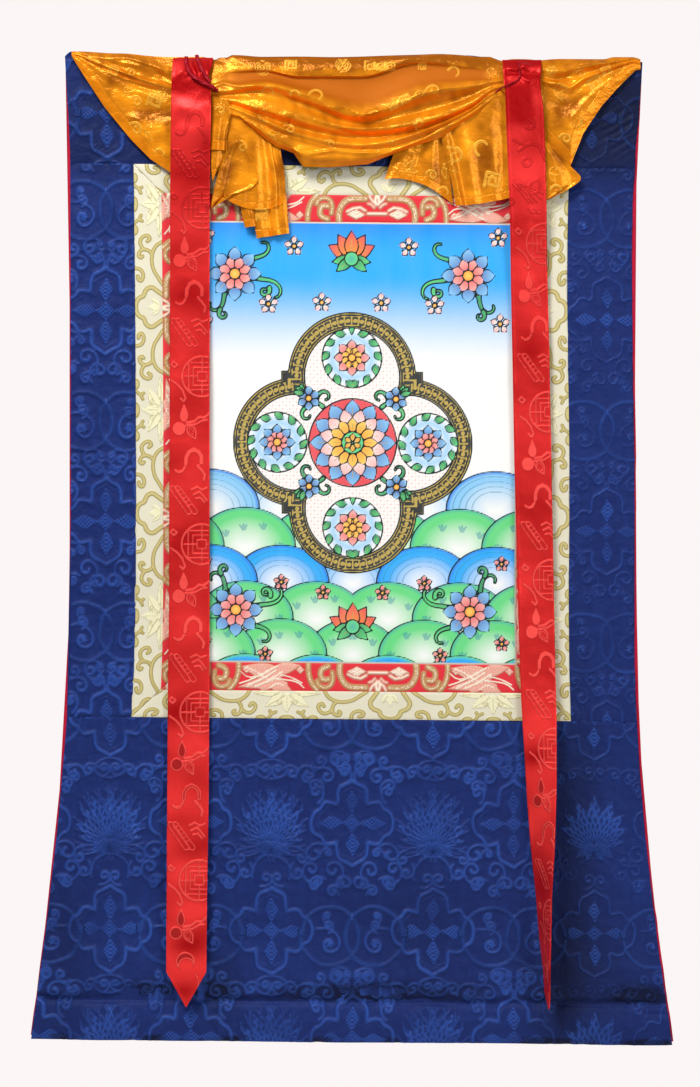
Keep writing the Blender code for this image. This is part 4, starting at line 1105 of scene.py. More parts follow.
def goldSilk():
    finish = Finish("goldSilk", Metallic=0.25, Specular_IOR_Level=0.45,
                    Specular_Tint=(1.0, 0.78, 0.3, 1.0))
    # undersides of folds get painted shade, deep orange as in light bounced between the folds, and are
    # a little rougher
    figure, underShade = finish.mark("figure").step(0.4, -0.35), finish.mark("underShade").step(0.35, 1.5)
    hem, dullAndShaded, paintedLight = finish.mark("hem"), finish.mark("dullAndShaded"), finish.mark("paintedLight")
    stitch = abs(hem - 10).step(0.8, 0.2)
    colour = finish.layers(
        # the silk's colour runs from painted shade to painted highlight
        finish.mix(paintedLight, (0.34, 0.085, 0.002), (1.0, 0.33, 0.008)),
        # the smooth layer is painted darker, as shade, and is rougher
        (dullAndShaded, (0.41, 0.09, 0.001)), (underShade * 0.8, (0.95, 0.19, 0.002)),
        (hem.step(10.5, 9.5) * 0.5, (0.86, 0.24, 0.004)), (figure * 0.8, (0.76, 0.36, 0.034)),
        (stitch * 0.5, (0.50, 0.17, 0.006)))
    ripple = finish.noise(150, 2.0, (1, 1, 1.6)) * (1 - dullAndShaded)
    height = figure + finish.weave(0.8, 1.0) * 0.05 - stitch * 0.6 + ripple * 2.2
    finish.set(Base_Color=colour, Normal=finish.bump(height, 0.3 * mm),
               Roughness=0.25 + figure * 0.2 + underShade * 0.1 + dullAndShaded * 0.35)
    return finish


silkPaintedLight = table(  # painted highlights and painted shade on the silk
    "x drop halfWide halfDrop amount", (-10, 5, 170, 11, -0.9), (-70, 12, 16, 6, 0.7),
    (-118, 8, 14, 7, 0.5), (30, 12, 22, 5, 0.75), (-20, 14, 14, 4, 0.4), (105, 10, 14, 5, 0.5),
    (-84, 44, 22, 10, 0.4), (-218, 40, 14, 8, 0.6), (-40, 92, 60, 10, 0.35), (40, 92, 40, 9, 0.3),
    (-66, 100, 8, 22, -0.6), (-112, 60, 10, 14, 0.5), (-196, 58, 20, 7, -0.7), (-205, 74, 20, 7, 0.5),
    (-236, 22, 14, 8, -0.4), (-190, 90, 12, 6, 0.4), (-120, 95, 8, 20, -0.3), (-104, 122, 10, 9, 0.7),
    (-126, 120, 6, 18, -0.5), (-85, 110, 8, 22, 0.4), (-80, 165, 9, 10, 0.5), (-98, 168, 5, 9, -0.4),
    (60, 115, 14, 9, 0.4), (84, 118, 7, 14, -0.6), (112, 84, 10, 16, 0.5), (132, 100, 9, 22, -0.5),
    (122, 138, 16, 5, 0.4), (210, 52, 18, 12, -0.5), (238, 26, 16, 9, 0.6), (214, 32, 14, 6, 0.3),
    (228, 74, 14, 12, 0.4), (206, 100, 8, 10, -0.6), (210, 122, 14, 10, 0.3))


# painted highlights and painted shade on the silk, uneven all over and strongest in the listed patches
def paintedLightField(x, drop):
    paintedLight = 0.47 + 0.22 * wander(x, drop * 1.8, 24, 5) + 0.2 * wander(x * 1.4, drop, 9, 8)
    return np.clip(paintedLight + patches(x, drop, silkPaintedLight), 0, 1)


def silkCloth(name, parts, thick, backRows):
    x, drop, proud, underShade, hem, dullAndShaded = parts
    front = np.stack([x, clothWave(x, drop) - proud, drop], axis=-1)
    cloth = Cloth(name, front, thick, backRows, square=True)
    cloth.mark(figure=silkFigure(x, drop), underShade=underShade, hem=hem, dullAndShaded=dullAndShaded,
               paintedLight=paintedLightField(x, drop))
    cloth.cut(x, drop)
    return cloth


def makeVeil(finish):
    veil = silkCloth("veil_silk", veilBody(), 1.2, 30)
    layers = [silkCloth("veil_" + name, tailLayer(name), 0.8, 12).piece for name in tails]
    with bpy.context.temp_override(active_object=veil.piece,
                                   selected_editable_objects=[veil.piece] + layers):
        bpy.ops.object.join()
    veil.dress(finish, "veil", "yellow_silk", (600.0, 150.0), "gathered",
               ("panel_top", "cream_top", "red_top"))
    print("veil made")


# Satin ribbons

streamers = {
    "streamer_left": table(
        "drop left right proudLeft proudRight", (0.5, -178.5, -138.5, 3.5, 3.5),
        (4, -178.8, -138.8, 6.5, 6.5), (8, -179, -139, 9, 9), (20, -179.3, -142.2, 15.5, 18),
        (27, -179.5, -142.8, 16, 19.5), (35, -179.7, -140.2, 16, 19), (52, -180, -140, 16.5, 19.5),
        (75, -180.3, -140.5, 15, 18.5), (100, -180.8, -141, 13, 15), (125, -181.2, -141.5, 11, 11.5),
        (160, -181.5, -142, 8, 8), (210, -181.6, -142, 6, 6), (300, -182, -142, 5, 6),
        (420, -182.3, -142, 6, 7.5), (542, -182.5, -142, 7, 6), (642, -184, -142.4, 6, 7.5),
        (740, -184.5, -143, 8, 9), (840, -185, -144.5, 10, 11), (912, -185, -145, 14, 14),
        (946.5, -165.6, -164.6, 15, 15)),
    "streamer_right": table(
        "drop left right proudLeft proudRight", (2.4, 150.2, 188.8, 3.6, 3.6),
        (5, 150.3, 188.9, 6.5, 6.5), (8, 150.4, 188.9, 9, 9), (20, 150.6, 188, 15, 13.5),
        (28, 150.8, 186.8, 19, 16.5), (35, 152, 187.5, 19.5, 17), (52, 152.6, 190.2, 18.5, 16),
        (75, 153.5, 191.5, 17, 15), (100, 154.7, 192.4, 15, 14), (125, 155.8, 193, 13.5, 13.5),
        (152, 157, 193.8, 13, 12), (202, 158, 194.5, 8, 8), (300, 160, 197, 6, 6.5),
        (407, 162, 199, 6, 8), (562, 166, 202, 7, 9), (640, 168.6, 203.4, 7.5, 13),
        (680, 171, 203.3, 8, 20), (732, 174, 202.3, 8.5, 29), (785, 177.7, 200, 9.5, 35),
        (834, 182.9, 196.3, 11.5, 40), (879, 186.4, 195.1, 13, 42), (910, 190, 194.3, 15, 42),
        (930, 190.8, 195, 20.5, 35), (946.5, 194.2, 195, 27, 28)),
}
ribbon = {
    "repeat": 167.5, "medallion": 319.0, "rightMedallion": 354.5, "rightShift": 4.5,
    "thick": 1.0, "clear": 1.0, "rightStart": 152.0, "leftSpan": (52.0, 885.0),
    "moon": ((9.5, 19, 902), (7, 20, 906)),   # a disc less a second: radius and middle
    "moonTail": ((28, 914), (27, 922), (22, 929), (25, 936)),
}
ribbonStrokes = {  # half width, then points across and down from a medallion's middle
    "tendril": (1.1, (2, 4), (8, 8), (13, 14), (16, 22), (14, 25), (11, 22)),
    "sprig": (1.0, (1, -12), (4, -15), (8, -12), (5, -9), (2, -11)),
    "ribbonHigh": (1.2, (17, 46), (24, 45), (30, 40.5), (35, 41), (40, 36.5)),
    "ribbonLow": (0.9, (16, 49), (26, 48), (33, 44), (38, 43.5)),
    "arch": (2.0, (16.5, 87), (16.8, 81), (19.5, 75.5), (24.5, 73), (29, 75), (32, 79.5), (32, 86)),
    "archHook": (1.4, (28, 89), (32, 93), (35.5, 98), (34.5, 103)),
    "archTail": (1.3, (15.5, 90.5), (13, 94.5), (9.5, 95.5), (6, 93.5)),
    "leafA": (1.0, (22, 113), (28, 110), (33, 113), (38, 111)),
    "leafB": (1.0, (24, 118), (30, 115), (34, 119), (38, 124)),
    "leafC": (0.9, (26, 122), (31, 121), (35, 126)),
}


def ribbonFigure(a, d):
    down = wrap(d, ribbon["repeat"], ribbon["medallion"] + 60) + 60
    middle = 32.5
    ring = discField(a, down, 20, middle)
    boxes = [boxField(a, down, reach, reach, middle) for reach in (4.5, 9.0, 13.5)]
    spokes = np.minimum(np.abs(a - middle), np.abs(down)) - 0.7
    lattice = least(np.where(boxes[0] > 0, spokes, far), *(np.abs(box) - 0.7 for box in boxes))
    loop = leafField(a, down, 19, 49, 62, 15, 4.2)
    bars = [strokeField(a, down, ends, 2.5)
            for ends in (((3.5, 112), (19.5, 135)), ((8.5, 112), (25.5, 135)))]
    rungs = [strokeField(a, down, ((x, y), (x + 3.4, y - 2.2)), 0.5)
             for x, y in ((8 + 2.6 * k, 115 + 3.7 * k) for k in range(5))]
    return least(np.abs(ring) - 1.0, np.maximum(lattice, ring + 1.5),
                 strokes(a, down, ribbonStrokes.values()),
                 leafField(a, down, 14.5, 45, -90, 18, 4.4, 0.6), discField(a, down, 6.5, 9.5, 52),
                 np.abs(loop) - 0.9, np.abs(loop + 2.6) - 0.4,
                 *(np.abs(bar) - 0.7 for bar in bars), *rungs)


rightStrokes = {  # on the upper part of the right ribbon, as x and drop in place
    "curl": (1.6, (176, 64), (180, 66), (181, 70), (178, 73), (174, 72)),
    "scroll": (1.5, (166, 95), (172, 90), (178, 88), (186, 90), (190, 98), (192, 104)),
    "scrollUp": (1.3, (160, 84), (166, 87), (172, 89.5)),
    "fanA": (0.7, (160, 128), (168, 136), (176, 147)),
    "fanB": (0.7, (163, 127), (171, 135), (180, 147)),
    "fanC": (0.7, (166, 127), (174, 134), (184, 146)),
    "fanD": (0.7, (169, 128), (177, 133), (188, 143)),
    "fanE": (0.7, (172, 129), (181, 133), (191, 138)),
    "bead": (1.2, (158, 142), (161, 146), (158, 149)),
}


def rightFigure(x, drop, a, d):
    field = ribbonFigure(a + ribbon["rightShift"] - 9,
                         d - ribbon["rightMedallion"] + ribbon["medallion"])
    ring = np.abs(discField(x, drop, 4.0, 174, 106)) - 1.5
    loop = np.abs(leafField(x, drop, 178, 138, -62, 17, 5.0)) - 1.4
    return least(np.where(d < ribbon["rightStart"], far, field),
                 strokes(x, drop, rightStrokes.values()), ring, loop)


satinCreases = {
    "streamer_left": {
        "bunchA": (3.6, 2.6, (-163, -6), (-160.5, 8), (-152, 27)),
        "bunchB": (3.4, 2.4, (-156, -6), (-153, 8), (-146, 25)),
        "bunchC": (3.0, 2.4, (-148, -6), (-146, 8), (-142, 22)),
        "bunchD": (1.8, 3.0, (-176, 6), (-171, 14), (-165, 16)),
        "nip": (1.6, 4.0, (-178, 20), (-168, 16), (-160, 20)),
        "swell": (2.2, 8.0, (-178, 52), (-160, 54), (-143, 62)),
        "soft": (1.2, 7.0, (-176, 70), (-160, 78), (-145, 72)),
    },
    "streamer_right": {
        "foldA": (2.2, 2.4, (152, 10), (162, 14), (172, 9), (186, 12)),
        "foldB": (2.4, 2.2, (152, 22), (166, 20), (176, 26), (188, 18)),
        "foldC": (-2.0, 2.0, (152, 16), (164, 18), (178, 17), (188, 15)),
        "foldD": (1.6, 3.0, (170, 2), (172, 10), (182, 22)),
    },
}
satinFlat = {"streamer_left": (40.0, 955.0), "streamer_right": (38.6, 955.0)}


def redSatin():
    finish = Finish("redSatin", Metallic=0.3, Specular_IOR_Level=0.25,
                    Specular_Tint=(1.0, 0.5, 0.45, 1.0))
    mark, low = finish.mark("figure"), finish.mark("low")
    figure = mark.step(0.4, -0.35)
    woven = finish.mix(finish.mark("high"), (1.0, 0.095, 0.08), (0.40, 0.004, 0.007))
    colour = finish.layers(
        # the satin's colour runs from painted shade to painted highlight
        finish.mix(finish.mark("paintedSatinLight"), (0.40, 0.002, 0.004), (0.97, 0.042, 0.040)),
        (figure * (low.step(0.0, 0.5) * 0.4 + 0.42), woven),
        (mark.step(-0.6, -1.8) * low.step(0.5, 1.0) * 0.85, (0.30, 0.002, 0.005)),
        (abs(mark).step(0.9, 0.3) * 0.22, (0.24, 0.002, 0.004)))
    height = figure + finish.weave(0.7, 0.9) * 0.05 + finish.noise(90) * 1.6
    finish.set(Base_Color=colour, Roughness=0.32 + figure * 0.2,
               Normal=finish.bump(height, 0.4 * mm))
    return finish


satinLightPatches = {  # painted highlights and painted shade: across from 0 to 1, drop, their halves and amount
    "streamer_left": table(
        "across drop wide high amount", (0.5, 6, 0.9, 14, -0.3), (0.1, 12, 0.2, 6, 0.6),
        (0.8, 31, 0.45, 15, -1.3), (0.2, 28, 0.5, 8, -1.0), (0.2, 46, 0.35, 7, 0.5),
        (0.75, 60, 0.4, 12, 0.4), (0.3, 86, 0.5, 16, 0.3), (0.9, 96, 0.3, 20, -0.3),
        (0.5, 118, 0.6, 12, -0.4), (0.5, 165, 0.6, 14, 0.2), (0.6, 240, 0.5, 18, -0.3),
        (0.3, 300, 0.4, 25, 0.3), (0.7, 420, 0.5, 22, 0.35), (0.4, 485, 0.6, 16, -0.35),
        (0.5, 560, 0.6, 20, 0.3), (0.4, 655, 0.6, 14, -0.3), (0.6, 690, 0.5, 12, 0.4),
        (0.3, 745, 0.5, 16, 0.4), (0.7, 790, 0.5, 12, -0.4), (0.3, 812, 0.4, 14, 0.5),
        (0.7, 850, 0.5, 10, 0.4), (0.4, 885, 0.5, 10, -0.4), (0.6, 905, 0.4, 8, 0.4),
        (0.5, 930, 0.6, 8, -0.4)),
    "streamer_right": table(
        "across drop wide high amount", (0.5, 5, 1.2, 9, -0.6), (0.5, 19, 1.2, 7, -0.35),
        (0.3, 24, 0.2, 3, 0.6), (0.85, 14, 0.2, 4, 0.6), (0.4, 48, 0.9, 24, -1.0),
        (0.85, 45, 0.25, 12, 0.7), (0.3, 80, 0.4, 10, 0.3), (0.6, 120, 0.5, 16, 0.5),
        (0.4, 165, 0.6, 12, -0.3), (0.5, 215, 0.6, 22, 0.3), (0.6, 300, 0.5, 22, -0.3),
        (0.4, 380, 0.6, 22, 0.3), (0.6, 460, 0.5, 18, -0.3), (0.4, 520, 0.5, 22, 0.3),
        (0.6, 600, 0.5, 22, -0.2), (0.4, 660, 0.5, 22, 0.4), (0.3, 700, 0.4, 10, -0.5),
        (0.6, 745, 0.6, 22, 0.3), (0.5, 830, 0.9, 30, -0.5), (0.5, 900, 0.9, 40, -0.3)),
}


def satinProud(rows, drop, across):
    return between(read(rows, "drop", "proudLeft", drop), read(rows, "drop", "proudRight", drop),
                   across)


def makeStreamer(name, finish):
    rows = streamers[name]
    top, tip = rows["drop"][0], rows["drop"][-1]
    columns, apart = 32, 4   # of the net, and from one reading of the veil to the next
    across, drop = np.meshgrid(np.linspace(0, 1, columns + 1), np.linspace(top, tip, 700))
    left, right = (read(rows, "drop", side, drop, smooth=False) for side in ("left", "right"))
    x = between(left, right, across)
    proud = satinProud(rows, drop, across)
    high = drop[:, 0] < 150
    places = np.arange(0, columns + 1, apart)
    veil = np.stack([veilProud(x[high, column], drop[high, column]) for column in places], axis=1)
    veil = np.stack([np.interp(np.arange(columns + 1), places, row) for row in veil])
    lowest = (veil + ribbon["clear"] + ribbon["thick"]) * ease(0, 8, drop[high] - top)
    proud[high] = np.maximum(proud[high], lowest)
    lift = creaseRelief(x, drop, satinCreases[name]) * ease(0, 6, drop - top)
    lift = lift + 1.3 * wander(x * 1.3, drop, 46, len(name)) + 0.3 * wander(x, drop, 10, 4)
    sewn = np.minimum(across, 1 - across) * (right - left)
    lift = lift + 0.35 * bell(sewn - 1.4, 0.8) - 0.4 * ease(1.2, 0, sewn)
    proud = proud + np.maximum(lift, -0.8)
    front = np.stack([x, clothWave(x, drop) - proud, drop], axis=-1)
    cloth = Cloth(name + "_satin", front, ribbon["thick"], 120)
    if name == "streamer_left":
        flat = x - left
        disc, bite = (discField(flat, drop, *circle) for circle in ribbon["moon"])
        start, end = ribbon["leftSpan"]
        figure = np.where((drop < start) | (drop > end), far, ribbonFigure(flat, drop))
        figure = least(figure, np.maximum(disc, -bite),
                       strokeField(flat, drop, ribbon["moonTail"], 0.8))
    else:
        flat = across * satinFlat[name][0]
        figure = rightFigure(x, drop, flat, drop)
    lower = ease(500, 750, drop)
    # painted highlights and painted shade on the ribbon, uneven and in the listed patches, among them
    # painted shadow below the ties
    paintedSatinLight = 0.46 + 0.14 * lower + (0.2 + 0.14 * lower) * wander(x * 0.7, drop, 22, 7)
    paintedSatinLight = paintedSatinLight + patches(across, drop, satinLightPatches[name])
    cloth.mark(figure=figure, paintedSatinLight=np.clip(paintedSatinLight, 0, 1), high=ease(175, 145, drop),
               low=0.5 * ease(250, 360, drop) + 0.5 * ease(600, 700, drop))
    cloth.cut(flat, drop)
    cloth.dress(finish, name, "red_satin", satinFlat[name],
                restsOn=("veil", "panel_bottom", "cream_bottom"))


# Ties

ties = {  # half thickness, then each cord's route as x and drop
    "tie_left": (1.9, ((-165.5, 0), (-165.5, 6), (-163.5, 13), (-160.5, 19), (-155.5, 23.5),
                       (-149, 27.5), (-143, 30.5), (-138, 33), (-133.5, 35.5)),
                 ((-155, -0.8), (-153, 6), (-149.5, 14), (-145.5, 21), (-141, 28))),
    "tie_right": (0.75, ((165, 3.2), (165.8, 8), (166.6, 15), (166.8, 21), (164, 25.5),
                         (158, 28.5), (152.5, 31), (149.2, 32.6), (145.5, 34.5), (142.5, 37))),
}
twist = {"strands": 3, "depth": 0.16, "lay": 1.1, "around": 18, "stationRows": 12}


def crimsonCord():
    finish = Finish("crimsonCord", Roughness=0.5, Specular_IOR_Level=0.12)
    finish.set(Base_Color=finish.mix(finish.noise(300, 1.0), (0.20, 0.003, 0.009),
                                     (0.40, 0.006, 0.018)))
    return finish


def cordShell(route, radius, streamer):  # a twisted cord laid over the cloths
    route = np.array(route, float)
    stations = np.arange(len(route), dtype=float)
    along = np.linspace(0, len(route) - 1, twist["stationRows"] * len(route))
    x, drop = (readCurve(stations, places, along) for places in route.T)
    rows = streamers[streamer]
    left, right = rows["left"][2], rows["right"][2]
    proud = veilProud(x, drop)
    over = satinProud(rows, drop, np.clip((x - left) / (right - left), 0, 1))
    over = np.maximum(over, proud + ribbon["clear"] + ribbon["thick"])
    lift = creaseRelief(x, drop, satinCreases[streamer])
    proud = np.where((x > left - 2) & (x < right + 2), over + np.maximum(lift, 0), proud)
    proud = proud + 0.3 + radius
    middle = np.stack([x, clothWave(x, drop) - proud, -drop], axis=-1) * mm
    runs = np.gradient(middle, axis=0)
    runs /= np.linalg.norm(runs, axis=1, keepdims=True)
    aside = np.cross(runs, (0.0, 1.0, 0.0))
    aside /= np.linalg.norm(aside, axis=1, keepdims=True)
    out = np.cross(aside, runs)
    length = np.concatenate([[0], np.cumsum(np.linalg.norm(np.diff(middle, axis=0), axis=1))])
    shell = bmesh.new()
    lines = len(along) - 1
    bmesh.ops.create_grid(shell, x_segments=twist["around"], y_segments=lines, size=0.5)
    for vertex in shell.verts:
        line = round((0.5 - vertex.co.y) * lines)
        angle = math.tau * (vertex.co.x + 0.5)
        lay = length[line] / (radius * mm) * twist["lay"]
        reach = radius * mm * (1 + twist["depth"] * math.cos(twist["strands"] * angle - lay))
        vertex.co = (middle[line] + aside[line] * reach * math.cos(angle)
                     + out[line] * reach * math.sin(angle))
    bmesh.ops.remove_doubles(shell, verts=shell.verts[:], dist=1e-6)
    closeUp(shell)
    return shell


def makeTie(name, streamer, finish):
    thick, *routes = ties[name]
    cord = bmesh.new()
    for route in routes:
        spare = toMesh(cordShell(route, thick, streamer), "strand")
        cord.from_mesh(spare)
        bpy.data.meshes.remove(spare)
    mesh = toMesh(cord, name)
    mesh.shade_smooth()
    mesh.materials.append(finish.material)
    assign(addObject(name + "_cord", mesh), name)


# The lining behind, and the painted canvas

lining = {
    "long": 981.0, "thick": 1.0,
    "lap": 1.8,   # how far it shows past the brocade
    "away": 0.5, "sag": 1.6, "hemSag": 3.4,   # how far behind the brocade it hangs
}


def makeLining():
    finish = Finish("redLining", Roughness=0.6, Specular_IOR_Level=0.1)
    colour = finish.mix(finish.noise(30), (0.40, 0.006, 0.026), (0.52, 0.010, 0.040))
    finish.set(Base_Color=colour, Normal=finish.bump(finish.weave(1.6, 1.6), 0.08 * mm))
    flatX, flatDrop = np.meshgrid(np.linspace(-1, 1, 97), np.linspace(0, lining["long"], 150))
    below = np.minimum(flatDrop / mount["topReach"], 1.0)
    flatX = flatX * (mount["half"] + lining["lap"] * below) + 0.7 * below * (flatX < -0.99)
    front = hang(flatX, flatDrop)
    inner = ease(mount["half"], mount["half"] - 30, abs(flatX)) * ease(0, 30, flatDrop)
    sag = 0.5 + 0.5 * wander(flatX, flatDrop * 0.4, 60, 8)
    behindHem = lining["hemSag"] * ease(905, 930, flatDrop)
    front[..., 1] += mount["thick"] + lining["away"] + lining["sag"] * sag * inner + behindHem
    cloth = Cloth("lining_cloth", front, lining["thick"], 149, square=True)
    cloth.cut(flatX, flatDrop)
    width = 2 * (mount["half"] + lining["lap"])
    cloth.dress(finish, "lining", "red_lining", (width, lining["long"]), restsOn=())


def paintColour(red, green, blue):  # a paint as mixed, from 0 to 255
    shade = np.array((red, green, blue)) / 255
    return np.where(shade < 0.04045, shade / 12.92, ((shade + 0.055) / 1.055) ** 2.4)


paints = {name: paintColour(*mixed) for name, mixed in {
    "sky": (20, 168, 250), "deepSky": (10, 120, 226), "white": (246, 246, 242),
    "green": (96, 214, 126), "darkGreen": (30, 128, 84), "teal": (70, 178, 160),
    "coral": (232, 74, 82), "rose": (248, 176, 170), "orange": (248, 150, 34),
    "yellow": (252, 208, 92), "blue": (34, 74, 172), "paleBlue": (138, 200, 242),
    "maroon": (142, 44, 66), "black": (28, 28, 26), "bead": (196, 166, 84),
}.items()}


class Picture:  # paint laid on in order, on places u across and v down from the middle
    def __init__(self, u, v):
        self.u, self.v = np.abs(u), v
        self.colour = np.zeros(u.shape + (3,))
        self.drawn = {name: nothing(u) for name in ("line", "gold", "fine")}
        self.ground = np.zeros(u.shape)

    def draw(self, name, field):
        self.drawn[name] = np.minimum(self.drawn[name], field)

    def lay(self, area, paint):
        self.colour = np.where(area[..., None], paint, self.colour)

    def wash(self, field, first, second, share=0.0, drawn=True):
        share = np.clip(share, 0, 1) * np.ones(self.u.shape)
        self.lay(field < 0, between(paints[first], paints[second], share[..., None]))
        for name, lines in self.drawn.items():
            self.drawn[name] = np.where(field < 0, far, lines)
        self.ground = np.where(field < 0, 0.0, self.ground)
        if drawn:
            self.draw("line", np.abs(field))

    def leaf(self, cx, cy, heading, length, half, first, second, belly=0.8):
        field = leafField(self.u, self.v, cx, cy, heading, length, half, belly)
        along, aside = turned(self.u - cx, self.v - cy, math.radians(heading))
        along = along / length
        self.wash(field, first, second, along)
        self.draw("gold", np.where((along > 0.2) & (along < 0.7), np.abs(aside) + 0.15, far))

    def disc(self, cx, cy, radius, first, second):
        away = np.hypot(self.u - cx, self.v - cy)
        self.wash(away - radius, first, second, away / radius)

    def rosette(self, cx, cy, petals, *rings):
        for number, (root, length, half, first, second) in enumerate(rings):
            for k in range(petals):
                heading = 360 / petals * (k + 0.5 * (number % 2)) - 90
                turn = math.radians(heading)
                self.leaf(cx + root * math.cos(turn), cy + root * math.sin(turn), heading,
                          length, half, first, second, 1.3)

    def wreath(self, cx, cy, reach, count, first, second):  # leaves in a ring, each aslant
        for k in range(count):
            turn = math.tau * (k + 0.5) / count
            self.leaf(cx + reach * math.cos(turn), cy + reach * math.sin(turn),
                      math.degrees(turn) + 68, 11.5, 3.6, first, second)

    def vine(self, lines, half, first, second):
        field = scrollField(self.u, self.v, lines, half, half * 0.45)
        self.wash(field, first, second, (self.v + 220) / 440 % 0.25 * 4)


picture = {
    "tiers": (  # each row of scallops: drop, reach, inner colour and edge
        (66, 50, "paleBlue", "deepSky"), (104, 50, "green", "teal"), (140, 48, "sky", "deepSky"),
        (176, 48, "green", "teal"), (212, 46, "green", "teal"), (246, 44, "sky", "green")),
    "pitch": 72.0, "squash": 1.3, "overlap": 44.0, "rim": 5.0, "ripple": 6.5,
    "tufts": (-34, -18, 2, 20, 33),
    "blooms": (  # where they are, their petals and their heart's radius
        (((30, 150), (72, 140), (88, 212), (150, 200), (150, 120)),
         (1.5, 6.5, 2.6, "coral", "rose"), 2.0),
        (((58, -196), (30, -140), (84, -138), (148, -206), (150, -120)),
         (2.0, 8.0, 3.2, "white", "rose"), 2.4)),
    "rosettes": {  # rings of petals: root, length, half width and colours
        "corner": ((8, 19, 6.5, "blue", "paleBlue"), (3, 14, 5, "coral", "rose")),
        "warm": ((4, 14, 4.6, "coral", "rose"), (1, 10, 3.6, "orange", "yellow")),
        "cool": ((4, 14, 4.6, "blue", "paleBlue"), (1, 10, 3.6, "coral", "rose")),
        "middle": ((18, 25, 7.5, "blue", "paleBlue"), (12, 22, 6.5, "white", "rose"),
                   (7, 18, 5, "orange", "yellow")),
    },
    "corner": (118.0, 168.0), "sprout": 184.0,
    "lobeSide": 56.0, "lobeHigh": 66.0, "lobeRadius": 64.0, "core": 71.0, "band": 16.0,
    "flowerSide": 76.0, "flowerHigh": 85.0, "flowerDisc": 30.0, "budPlace": 44.0,
    "half": (164.5, 220.5),   # from the middle to the painted edge
    "vines": table(
        "x y heading length bendStart bendEnd", (44, 36, -20, 24, -4, -18), (36, 44, 110, 24, 4, 18),
        (44, -36, 20, 24, 4, 18), (36, -44, -110, 24, -4, -18), (30, 36, 40, 18, -2, -10),
        (30, -36, -40, 18, 2, 10)),
    "sprays": table(  # from each corner flower
        "x y heading length bendStart bendEnd", (-18, -3, 200, 44, -3, 11), (-35, -14, 262, 22, 8, 24),
        (-14, 13, 150, 36, 4, -15), (10, -18, 282, 34, -2, 15), (15, -36, 300, 18, -8, -24)),
}


def paintSky(art):
    art.wash(-nothing(art.u), "sky", "white", (art.v + 190) / 110, drawn=False)
    art.lay(art.v < -90, between(paints["sky"], paints["white"],
                                 ease(-170, -70, art.v)[..., None]))
    art.lay(art.v < -150, between(paints["deepSky"], art.colour,
                                  ease(-240, -185, art.v)[..., None]))


def paintTiers(art):
    u, v = art.u, art.v
    rim = picture["rim"]
    for row, (low, reach, first, edge) in enumerate(picture["tiers"]):
        for k in range(-1, 4):
            cx = (k + 0.5 * (row % 2)) * picture["pitch"]
            field = np.maximum(np.hypot(u - cx, (v - low) * picture["squash"]) - reach,
                               low - picture["overlap"] - v)
            art.wash(field, "white", first, 0.15 + (field + 40) / 34)
            art.wash(np.maximum(field, -field - rim), edge, first, -field / rim, drawn=False)
            art.draw("line", np.abs(field))
            if first == "green":
                for away in picture["tufts"]:
                    x, y = cx + away, low - 24 + 0.016 * away**2 + 3 * (away % 3)
                    for blade in (((x - 3, y - 3), (x - 1, y + 2), (x, y - 4)),
                                  ((x, y - 4), (x + 1, y + 2), (x + 4, y - 3))):
                        art.draw("fine", strokeField(u, v, blade, 0.3))
            else:
                waves = np.abs(wrap(field, picture["ripple"]))
                art.draw("fine", np.where((field < -2) & (field > -28), waves, far))


def paintFlowers(art):
    side, high = picture["corner"]
    for way in (-1, 1):
        for dx, dy, heading, length, start, end in each(picture["sprays"]):
            line = scrollLine(side + dx, way * (high + dy), way * heading, length, way * start,
                              way * end)
            art.wash(strokeField(art.u, art.v, line, 2.4, 1.1), "darkGreen", "green",
                     np.abs(art.u - side) / 45)
    for places, petals, heart in picture["blooms"]:
        for x, y in places:
            art.rosette(x, y, 5, petals)
            art.disc(x, y, heart, "yellow", "orange")
    for way in (-1, 1):
        art.rosette(side, high * way, 8, *picture["rosettes"]["corner"])
        art.disc(side, high * way, 5.5, "yellow", "orange")
        foot = picture["sprout"] * way
        for heading in (64, -64, 32, -32, 0):
            art.leaf(0, foot + 2 * way, heading - 90, 26, 7, "orange", "coral")
        for heading in (100, -100, 130, -130):
            art.leaf(0, foot, heading - 90, 20, 5, "darkGreen", "green")
        art.disc(0, foot, 7, "teal", "green")


def paintLobes(art):  # the key band round the middle, and the ground within it
    u, v = art.u, art.v
    side, high, band = picture["lobeSide"], picture["lobeHigh"], picture["band"]
    beside, above = np.hypot(u - side, v), np.hypot(u, np.abs(v) - high)
    lobe = np.minimum(np.minimum(beside, above) - picture["lobeRadius"],
                      np.maximum(u, np.abs(v)) - picture["core"])
    art.wash(lobe, "black", "black")
    spin = 56 * np.where(beside < above, np.arctan2(v, u - side),
                         np.arctan2(u, np.abs(v) - high))
    middle = lobe + band / 2
    keys = least(np.abs(wrap(spin, 7)) - 0.25, np.abs(np.abs(middle) - 4.6) - 0.1,
                 np.hypot(wrap(spin, 7, 3.5), middle) - 1.6)
    inner = lobe + band
    art.draw("gold", least(np.where(np.abs(middle) < 5, keys, far), np.abs(lobe + 1.0),
                           np.abs(inner - 1.0)))
    art.wash(inner, "white", "white")
    art.ground = np.where(inner < -1.0, 1.0, 0.0)


